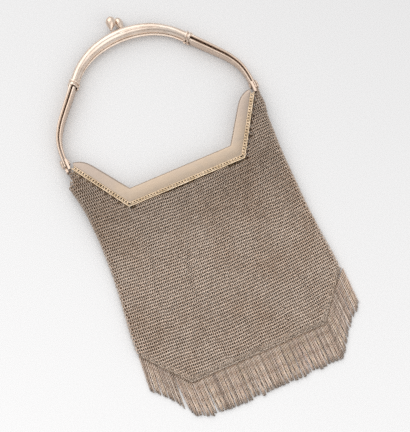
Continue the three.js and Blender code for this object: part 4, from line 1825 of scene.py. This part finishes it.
@dataclass
class RingMesh:
    """The bag's ring mesh. Each ring passes through two rings above it and two below it."""

    form: BagForm
    jaw: Jaw
    row_pitch: float = 2.14
    ring_pitch: float = 1.35
    fullness: float = 1.04
    ring_radius: float = 1.42
    wire_radius: float = 0.285
    lean: float = math.radians(34)
    smile: float = 3.2
    skin: float = 0.95
    mouth_offset: float = 4.1
    corner_drop: float = 8.5
    corner_start: float = 69.0
    corner_slope: float = 1.3
    crown_rows: int = 3
    crown: tuple[float, float] = (-68.5, 71.2)
    crown_width: float = 4.5
    crown_foot: float = -3.6
    crown_spread: float = 2.6
    crown_fade: tuple[float, float] = (3.0, 15.0)
    crown_side: tuple[float, float] = (62.0, 72.0)
    top_gap: float = 0.6
    top_clear: float = 0.4
    hem_gap: float = 0.3
    floor_clear: float = 1.7
    back_ripple: float = 0.35
    probe: tuple[float, float] = (0.4, 0.5)
    row_play: float = 0.05
    wave: float = 0.22
    slips: tuple[tuple[float, float], ...] = (
        (-47.0, 0.3),
        (-21.0, -0.35),
        (4.0, 0.3),
        (26.0, -0.25),
        (49.0, 0.3),
    )
    slip_width: float = 1.3
    slip_wander: float = 4.0
    front_edge: float = -0.2
    front_bands: int = 3
    front_sides: tuple[int, int] = (10, 4)
    back_bands: int = 2
    back_sides: tuple[int, int] = (7, 3)
    lean_play: float = 0.09
    turn_play: float = 0.08
    size_play: float = 0.03
    seed: int = 7
    link_seed: int = 20

    def lattice(self) -> dict[str, np.ndarray]:
        """Places every ring.

        Returns:
            Arrays of the rings' points, directions, leans and row numbers, for the whole bag.
        """
        rng = np.random.default_rng(self.seed)
        form = self.form
        waist = 4 * form.waist_half
        columns = 2 * int(self.fullness * waist / self.ring_pitch / 2)
        rows = int((form.foot_drop - form.top_drop + self.smile) / self.row_pitch) + 1
        row, column = np.meshgrid(np.arange(-self.crown_rows, rows), np.arange(columns), indexing="ij")
        around = ((column + 0.5 * (row % 2)) / columns).ravel()
        row = row.ravel()
        drop = form.top_drop + self.top_gap + row * self.row_pitch
        drop = drop + rng.normal(0, self.row_play, len(drop))
        step = self.probe[0] / waist
        here = self.place(around, drop)
        ahead, behind = self.place(around + step, drop), self.place(around - step, drop)
        below, above = drop + self.probe[1], drop - self.probe[1]
        lower, upper = self.place(around, below), self.place(around, above)
        along = ahead - behind
        along /= np.linalg.norm(along, axis=1, keepdims=True)
        out = np.cross(along, upper - lower)
        out /= np.linalg.norm(out, axis=1, keepdims=True)
        flat_x = here[:, 0] - form.sway_at(here[:, 1])
        keep = self.jaw.distance(here[:, 0], here[:, 1]) > self.mouth_offset
        keep &= form.above_hem(flat_x, here[:, 1]) > self.hem_gap
        cut = self.corner_drop + self.corner_slope * np.maximum(-here[:, 0] - self.corner_start, 0)
        left, right = self.crown
        near_left = (here[:, 0] < left) & (here[:, 0] > left - self.crown_width)
        crown = (here[:, 0] > right) | (near_left & (here[:, 1] < self.crown_foot))
        keep &= crown | (here[:, 1] < -np.maximum(cut, form.top_drop + self.top_clear))
        flip = np.where(row % 2 == 0, 1.0, -1.0)
        return {
            "points": here[keep],
            "along": (along * flip[:, None])[keep],
            "out": out[keep],
            "lean": np.full(int(keep.sum()), -self.lean),
            "row": row[keep],
        }

    def place(self, around: np.ndarray, drop: np.ndarray) -> np.ndarray:
        """Finds a ring's place.

        Args:
            around: The share of the way round the bag, from the left edge over the front.
            drop: The row's drop below the hinge axis at the middle of the bag.

        Returns:
            The places, one a row.
        """
        half_width, depth = self.form.section(drop)
        radius = depth / 2 - self.skin
        run = 2 * (half_width - depth / 2)
        arc = math.pi * radius
        way = (around % 1) * 2 * (run + arc)
        on_back = way >= run + arc
        way = np.where(on_back, way - run - arc, way)
        turn = np.clip((way - run) / radius, 0, math.pi)
        x = np.minimum(way, run) - run / 2 + radius * np.sin(turn)
        z = radius * np.cos(turn)
        x, z = np.where(on_back, -x, x), np.where(on_back, -z, z)
        y = -drop + self.smile * (x / self.form.waist_half) ** 2
        y = y + self.wave * np.sin(0.23 * x + 0.9) * np.sin(0.045 * drop + 0.5)
        for spot, jump in self.slips:
            past = x - spot - self.slip_wander * np.sin(0.05 * drop + spot)
            y = y + jump * np.tanh(past / self.slip_width) * np.sin(0.06 * drop + spot)
        crest = np.where(z > 0, 1.0, self.back_ripple)
        z = np.maximum(z + crest * self.ripple(x, y) + depth / 2, self.floor_clear)
        spread = self.crown_spread * (1 - smoothstep(drop, *self.crown_fade))
        spread = spread * smoothstep(x, *self.crown_side)
        return np.column_stack([x + spread + self.form.sway_at(y), y, z])

    @staticmethod
    def ripple(x: np.ndarray, y: np.ndarray) -> np.ndarray:
        """The slight unevenness with which the mesh lies.

        Args:
            x: Places across the bag.
            y: Places along it.

        Returns:
            How much the mesh rises there.
        """
        wide = np.sin(0.11 * x + 0.6) * np.sin(0.07 * y + 1.1)
        fine = np.sin(0.31 * x + 0.05 * y) * np.sin(0.23 * y - 0.12 * x + 0.8)
        return 0.16 * wide + 0.12 * fine

    def build(self, links: LinkRecipe, material: bpy.types.Material) -> list[bpy.types.Object]:
        """Builds the mesh in bands, the front ones with rounder rings than the back ones.

        Args:
            links: Makes the rings.
            material: Their finish.

        Returns:
            The bands.
        """
        data = self.lattice()
        front = data["out"][:, 2] >= self.front_edge
        last = data["row"].max() + 1
        pieces = []
        faces = (
            ("front", front, self.front_bands, self.front_sides),
            ("back", ~front, self.back_bands, self.back_sides),
        )
        for name, chosen, bands, (sides, wire_sides) in faces:
            edges = np.quantile(data["row"][chosen], np.linspace(0, 1, bands + 1))
            edges[-1] = last
            for band in range(bands):
                part = chosen & (data["row"] >= edges[band]) & (data["row"] < edges[band + 1])
                carrier = Carrier("rings", *(data[key][part] for key in ("points", "along", "out", "lean")))
                piece = links.cook(
                    f"mesh_{name}_{band + 1}",
                    carrier.mesh,
                    Half_Width=self.ring_radius * METRES_PER_MM,
                    Half_Length=self.ring_radius * METRES_PER_MM,
                    Wire_Radius=self.wire_radius * METRES_PER_MM,
                    Lean_Play=self.lean_play,
                    Turn_Play=self.turn_play,
                    Size_Play=self.size_play,
                    Link_Sides=sides,
                    Wire_Sides=wire_sides,
                    Seed=self.link_seed + band,
                    Material=material,
                )
                pieces.append(piece)
        return pieces

    def dress(self, links: LinkRecipe, material: bpy.types.Material) -> None:
        """Builds and reports the mesh."""
        for piece in self.build(links, material):
            report(piece, "mesh_metal", "mesh_bag")


@dataclass
class HemBand:
    """The dense band of small rings along the cut corners and the foot."""

    form: BagForm
    ring_radius: float = 0.72
    wire_radius: float = 0.22
    pitch: float = 1.05
    lean: float = math.radians(-38)
    lengthening: float = 1.1
    lean_play: float = 0.35
    turn_play: float = 0.3
    size_play: float = 0.12
    ring_sides: tuple[int, int] = (7, 3)
    core_heights: tuple[float, float] = (0.5, 0.75)
    core_insets: tuple[float, float] = (0.75, 0.8)
    seed: int = 41

    def section(self) -> np.ndarray:
        """Lists the lines of rings: inset, height and the outward direction's two parts.

        Returns:
            One row of the four numbers for each line of rings.
        """
        width, depth = self.form.band_width, self.form.band_depth
        rows = [
            (0.55, 1.15, -1.0, -0.1),
            (0.5, depth - 1.3, -1.0, 0.25),
            (0.95, depth - 0.55, -0.5, 0.85),
            (1.75, depth - 0.4, 0.0, 1.0),
            (width - 0.45, depth - 0.5, 0.3, 0.95),
            (width - 0.3, depth - 1.5, 0.95, 0.3),
            (width + 0.4, depth - 0.9, 0.3, 0.95),
            (width + 1.2, depth - 1.0, 0.2, 0.98),
        ]
        return np.array(rows)

    def build(self, links: LinkRecipe, material: bpy.types.Material) -> bpy.types.Object:
        """Builds the band's rings.

        Args:
            links: Makes the rings.
            material: Their finish.

        Returns:
            The rings as one piece.
        """
        points, along, out, lean = [], [], [], []
        for k, (inset, rise, inward, up) in enumerate(self.section()):
            corners = self.form.hem_line(inset)
            for start, end in zip(corners[:-1], corners[1:]):
                length = float(np.linalg.norm(end - start))
                way = (end - start) / length
                count = int(length / self.pitch)
                steps = (np.arange(count) + 0.5 + 0.5 * (k % 2)) * length / count
                flat = start + steps[:, None] * way
                side = np.array([-way[1], way[0]])
                normal = np.array([side[0] * inward, side[1] * inward, up])
                normal /= np.linalg.norm(normal)
                points.append(np.column_stack([flat, np.full(count, rise)]))
                direction = 1.0 if k % 2 else -1.0
                along.append(np.tile([way[0] * direction, way[1] * direction, 0.0], (count, 1)))
                out.append(np.tile(normal, (count, 1)))
                lean.append(np.full(count, self.lean))
        place = np.vstack(points)
        place[:, 0] += self.form.sway_at(place[:, 1])
        carrier = Carrier("hem_rings", place, np.vstack(along), np.vstack(out), np.concatenate(lean))
        return links.cook(
            "hem_rings",
            carrier.mesh,
            Half_Width=self.ring_radius * METRES_PER_MM,
            Half_Length=self.ring_radius * self.lengthening * METRES_PER_MM,
            Wire_Radius=self.wire_radius * METRES_PER_MM,
            Lean_Play=self.lean_play,
            Turn_Play=self.turn_play,
            Size_Play=self.size_play,
            Link_Sides=self.ring_sides[0],
            Wire_Sides=self.ring_sides[1],
            Seed=self.seed,
            Material=material,
        )

    def core(self) -> bpy.types.Object:
        """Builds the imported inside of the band.

        Returns:
            The core.
        """
        draft = Draft()
        low, high = self.core_heights[0], self.form.band_depth - self.core_heights[1]
        near = self.form.hem_line(self.core_insets[0])
        far = self.form.hem_line(self.form.band_width + self.core_insets[1])
        rings = []
        for a, b in zip(near, far):
            ring = np.array([(*a, low), (*a, high), (*b, high), (*b, low)])
            ring[:, 0] += self.form.sway_at(ring[:, 1])
            rings.append(ring)
        draft.loft(np.array(rings))
        return draft.to_object("hem_core")

    def dress(self, links: LinkRecipe, material: bpy.types.Material, core_shade: bpy.types.Material) -> None:
        """Builds and reports the band, its core dressed dark as painted shade between the rings."""
        report(self.build(links, material), "hem_metal", "hem_band")
        # Painted shade: the dark core shows as shade between the band's rings.
        report(dressed(self.core(), core_shade), "hem_metal", "hem_band")


@dataclass
class ChainFringe:
    """Fine chains that hang from the hem, in three stretches."""

    form: BagForm
    length: float = 26.8
    pitch: float = 0.95
    radius: float = 0.46
    layers: tuple[float, ...] = (0.62, 1.75)
    unevenness: float = 0.9
    lock_pitch: float = 3.1
    gather: float = 0.3
    flare: float = 2.4
    left_shorter: float = 2.8
    corner_longer: float = 5.0
    corner_place: float = -56.4
    corner_reach: float = 3.2
    ease: float = 9.0
    right_spread: float = 1.7
    partings: tuple[tuple[float, float], ...] = (
        (-59.5, 1.5),
        (-42.0, 1.0),
        (-18.0, 0.5),
        (27.0, 0.5),
        (64.0, 0.7),
    )
    parting_reach: float = 2.5
    lock_stray: float = 0.35
    chain_stray: float = 0.12
    stray_wave: float = 0.55
    end_wave: float = 2.7
    lock_play: float = 0.45
    chain_play: float = 0.35
    most_locks: int = 64
    tuck: float = 0.2
    bends: int = 6
    sag: float = 0.25
    ripple: float = 0.12
    ripple_wave: float = 5.0
    lowest: float = 0.5
    flatness: float = 0.75
    twist: float = math.radians(22)
    swell: float = 0.06
    links: int = 24
    sides: int = 4
    seed: int = 5
    tone_seed: int = 31

    def hem_drop(self, x: np.ndarray) -> np.ndarray:
        """The drop of the hem's outer edge below the hinge axis."""
        share = (np.abs(x) - self.form.foot_half) / (self.form.shoulder_half - self.form.foot_half)
        return self.form.foot_drop + (self.form.shoulder_drop - self.form.foot_drop) * np.clip(share, 0, 1)

    def lines(self, start: float, end: float, rng: np.random.Generator) -> bpy.types.Mesh:
        """Draws the middle line of each chain of one stretch.

        Args:
            start: Where the stretch starts, across the purse.
            end: Where it ends.
            rng: The source of the chains' small differences.

        Returns:
            A mesh of edges.
        """
        points, edges = [], []
        foot, shoulder = self.form.foot_half, self.form.shoulder_half
        lock_ends = rng.normal(0, self.lock_play, self.most_locks)
        for layer, height in enumerate(self.layers):
            roots = np.arange(start + self.pitch * (0.5 + 0.5 * layer), end, self.pitch)
            for x in roots:
                lock = math.floor((x - start) / self.lock_pitch)
                middle = start + (lock + 0.5) * self.lock_pitch
                stray = self.lock_stray * math.sin(self.stray_wave * lock) + rng.normal(0, self.chain_stray)
                reach = self.length - self.unevenness * abs(math.sin(self.end_wave * lock))
                reach -= abs(rng.normal(0, self.chain_play))
                reach += lock_ends[lock]
                root = -float(self.hem_drop(np.array(x))) + self.tuck
                stray -= self.flare * float(smoothstep(-x, foot, shoulder))
                reach -= self.left_shorter * float(smoothstep(-x, foot - self.ease, foot))
                reach += self.corner_longer * math.exp(-(((x - self.corner_place) / self.corner_reach) ** 2))
                spread = self.right_spread * float(smoothstep(x, shoulder - self.ease, shoulder))
                for place, push in self.partings:
                    stray += math.copysign(push, x - place) * math.exp(-abs(x - place) / self.parting_reach)
                first = len(points)
                for bend in range(self.bends + 1):
                    share = bend / self.bends
                    side = (middle - x) * self.gather * share + stray * share + spread
                    wave = self.ripple * math.sin(self.ripple_wave * share + x)
                    rise = height * (1 - self.sag * share) + wave
                    y = root - reach * share
                    swayed = x + side + float(self.form.sway_at(np.array(y)))
                    points.append((swayed, y, max(rise, self.lowest)))
                edges += [(first + k, first + k + 1) for k in range(self.bends)]
        mesh = bpy.data.meshes.new("chain_lines")
        mesh.from_pydata(PLACE.to_row(np.array(points)).tolist(), edges, [])
        return mesh

    def dress(self, chains: ChainRecipe, material: bpy.types.Material) -> None:
        """Builds and reports the three stretches.

        Args:
            chains: Makes the chains.
            material: Their finish.
        """
        rng = np.random.default_rng(self.seed)
        foot, shoulder = self.form.foot_half, self.form.shoulder_half
        stretches = (("left", -shoulder, -foot), ("bottom", -foot, foot), ("right", foot, shoulder))
        for name, start, end in stretches:
            piece = chains.cook(
                f"chains_{name}",
                self.lines(start, end, rng),
                Radius=self.radius * METRES_PER_MM,
                Flatness=self.flatness,
                Twist=self.twist,
                Swell=self.swell,
                Links=self.links,
                Sides=self.sides,
                Seed=self.tone_seed,
                Material=material,
            )
            report(piece, "fringe_metal", f"fringe_{name}")


@dataclass(frozen=True)
class Lamp:
    """A soft square light that faces the purse."""

    name: str
    place: tuple[float, float, float]
    size: float
    power: float
    tint: Colour = (1.0, 0.995, 0.985)

    def build(self) -> None:
        """Sets the lamp up, turned to the origin."""
        data = bpy.data.lights.new(self.name, "AREA")
        data.size = self.size
        data.energy = self.power
        data.color = self.tint
        lamp = bpy.data.objects.new(self.name, data)
        lamp.location = self.place
        lamp.rotation_euler = Vector(self.place).to_track_quat("Z", "Y").to_euler()
        bpy.context.scene.collection.objects.link(lamp)


@dataclass
class Studio:
    """The pale surface, the soft lights and the camera."""

    target: tuple[float, float, float] = (2.66, -18.96, 6.3)
    distance: float = 900.0
    tilt: float = math.radians(15)
    turn: float = math.radians(23.9)
    focal_pixels: float = 1285.7
    image_height: int = 432
    sensor: float = 36.0
    clip: tuple[float, float] = (0.05, 20.0)
    surface_reach: float = 3.0
    glow: float = 0.78
    glow_slope: tuple[float, float] = (0.14, 0.06)
    sky: tuple[tuple[float, Colour], ...] = (
        (0.0, (0.42, 0.415, 0.41)),
        (0.2, (0.66, 0.655, 0.65)),
        (0.5, (1.0, 0.995, 0.99)),
        (0.78, (0.85, 0.845, 0.84)),
        (0.96, (0.60, 0.60, 0.60)),
    )
    lamps: tuple[Lamp, ...] = (
        Lamp("key", (-0.3, 1.15, 1.5), 2.6, 25.0),
        Lamp("fill", (0.5, -1.3, 1.3), 2.0, 12.0),
    )

    def camera(self) -> None:
        """Sets the camera at the photograph's angle."""
        data = bpy.data.cameras.new("camera")
        data.sensor_width = self.sensor
        data.lens = self.sensor * self.focal_pixels / self.image_height
        data.clip_start, data.clip_end = self.clip
        low = math.sin(self.tilt)
        back = Vector((-low * math.sin(self.turn), -low * math.cos(self.turn), math.cos(self.tilt)))
        right = Vector((math.cos(self.turn), -math.sin(self.turn), 0))
        up = back.cross(right)
        turned = Matrix((right, up, back)).transposed().to_4x4()
        spot = (Vector(self.target) + back * self.distance) * METRES_PER_MM
        camera = bpy.data.objects.new("camera", data)
        camera.matrix_world = Matrix.Translation(spot) @ turned
        bpy.context.scene.collection.objects.link(camera)
        bpy.context.scene.camera = camera

    def world(self) -> None:
        """Surrounds the purse with light that falls off towards the horizon."""
        world = bpy.data.worlds.new("studio")
        world.use_nodes = True
        sheet = NodeSheet(world.node_tree)
        world.node_tree.nodes.clear()
        place = sheet.node("ShaderNodeTexCoord")
        parts = sheet.node("ShaderNodeSeparateXYZ")
        sheet.join(place.outputs["Generated"], parts.inputs[0])
        right, up = self.glow_slope
        leaned = sheet.math("MULTIPLY_ADD", parts.outputs["X"], right, parts.outputs["Z"])
        lit = sheet.math("MULTIPLY_ADD", parts.outputs["Y"], up, leaned)
        glow = sheet.node("ShaderNodeBackground")
        sheet.join(Finish.ramp(sheet, lit, *self.sky), glow.inputs["Color"])
        glow.inputs["Strength"].default_value = self.glow
        output = sheet.node("ShaderNodeOutputWorld")
        sheet.join(glow.outputs[0], output.inputs["Surface"])
        bpy.context.scene.world = world

    def floor(self, material: bpy.types.Material) -> None:
        """Lays the surface under the purse.

        Args:
            material: Its finish.
        """
        reach = self.surface_reach
        mesh = bpy.data.meshes.new("surface")
        corners = [(-reach, -reach, 0), (reach, -reach, 0), (reach, reach, 0), (-reach, reach, 0)]
        mesh.from_pydata(corners, [], [(0, 1, 2, 3)])
        piece = bpy.data.objects.new("surface", mesh)
        bpy.context.scene.collection.objects.link(piece)
        dressed(piece, material)

    def build(self) -> None:
        """Sets up the whole studio."""
        scene = bpy.context.scene
        scene.view_settings.view_transform = "Standard"
        scene.view_settings.look = "None"
        scene.cycles.use_denoising = False
        self.camera()
        self.world()
        self.floor(PaperFloor().material())
        for lamp in self.lamps:
            lamp.build()


def main() -> None:
    """Builds, dresses and reports the purse, then lights it."""
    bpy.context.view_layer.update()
    links, rungs, chains = LinkRecipe(), RungRecipe(), ChainRecipe()
    polished, satin, brass = PolishedSilver().material(), SatinSilver().material(), LacingBrass().material()
    hem_silver, hem_shade_core = HEM_SILVER.material(), HEM_SHADE_CORE.material()
    jaw, form = Jaw(), BagForm()
    handle = Handle(jaw)
    handle.dress(polished)
    HingeRivets(handle).dress(polished)
    KissClasp(handle).dress(polished)
    JawPlate(jaw, handle).dress(rungs, links, satin, brass)
    RingMesh(form, jaw).dress(links, LinkSilver().material())
    HemBand(form).dress(links, hem_silver, hem_shade_core)
    ChainFringe(form).dress(chains, ChainSilver().material())
    Studio().build()


if __name__ == "__main__":
    main()
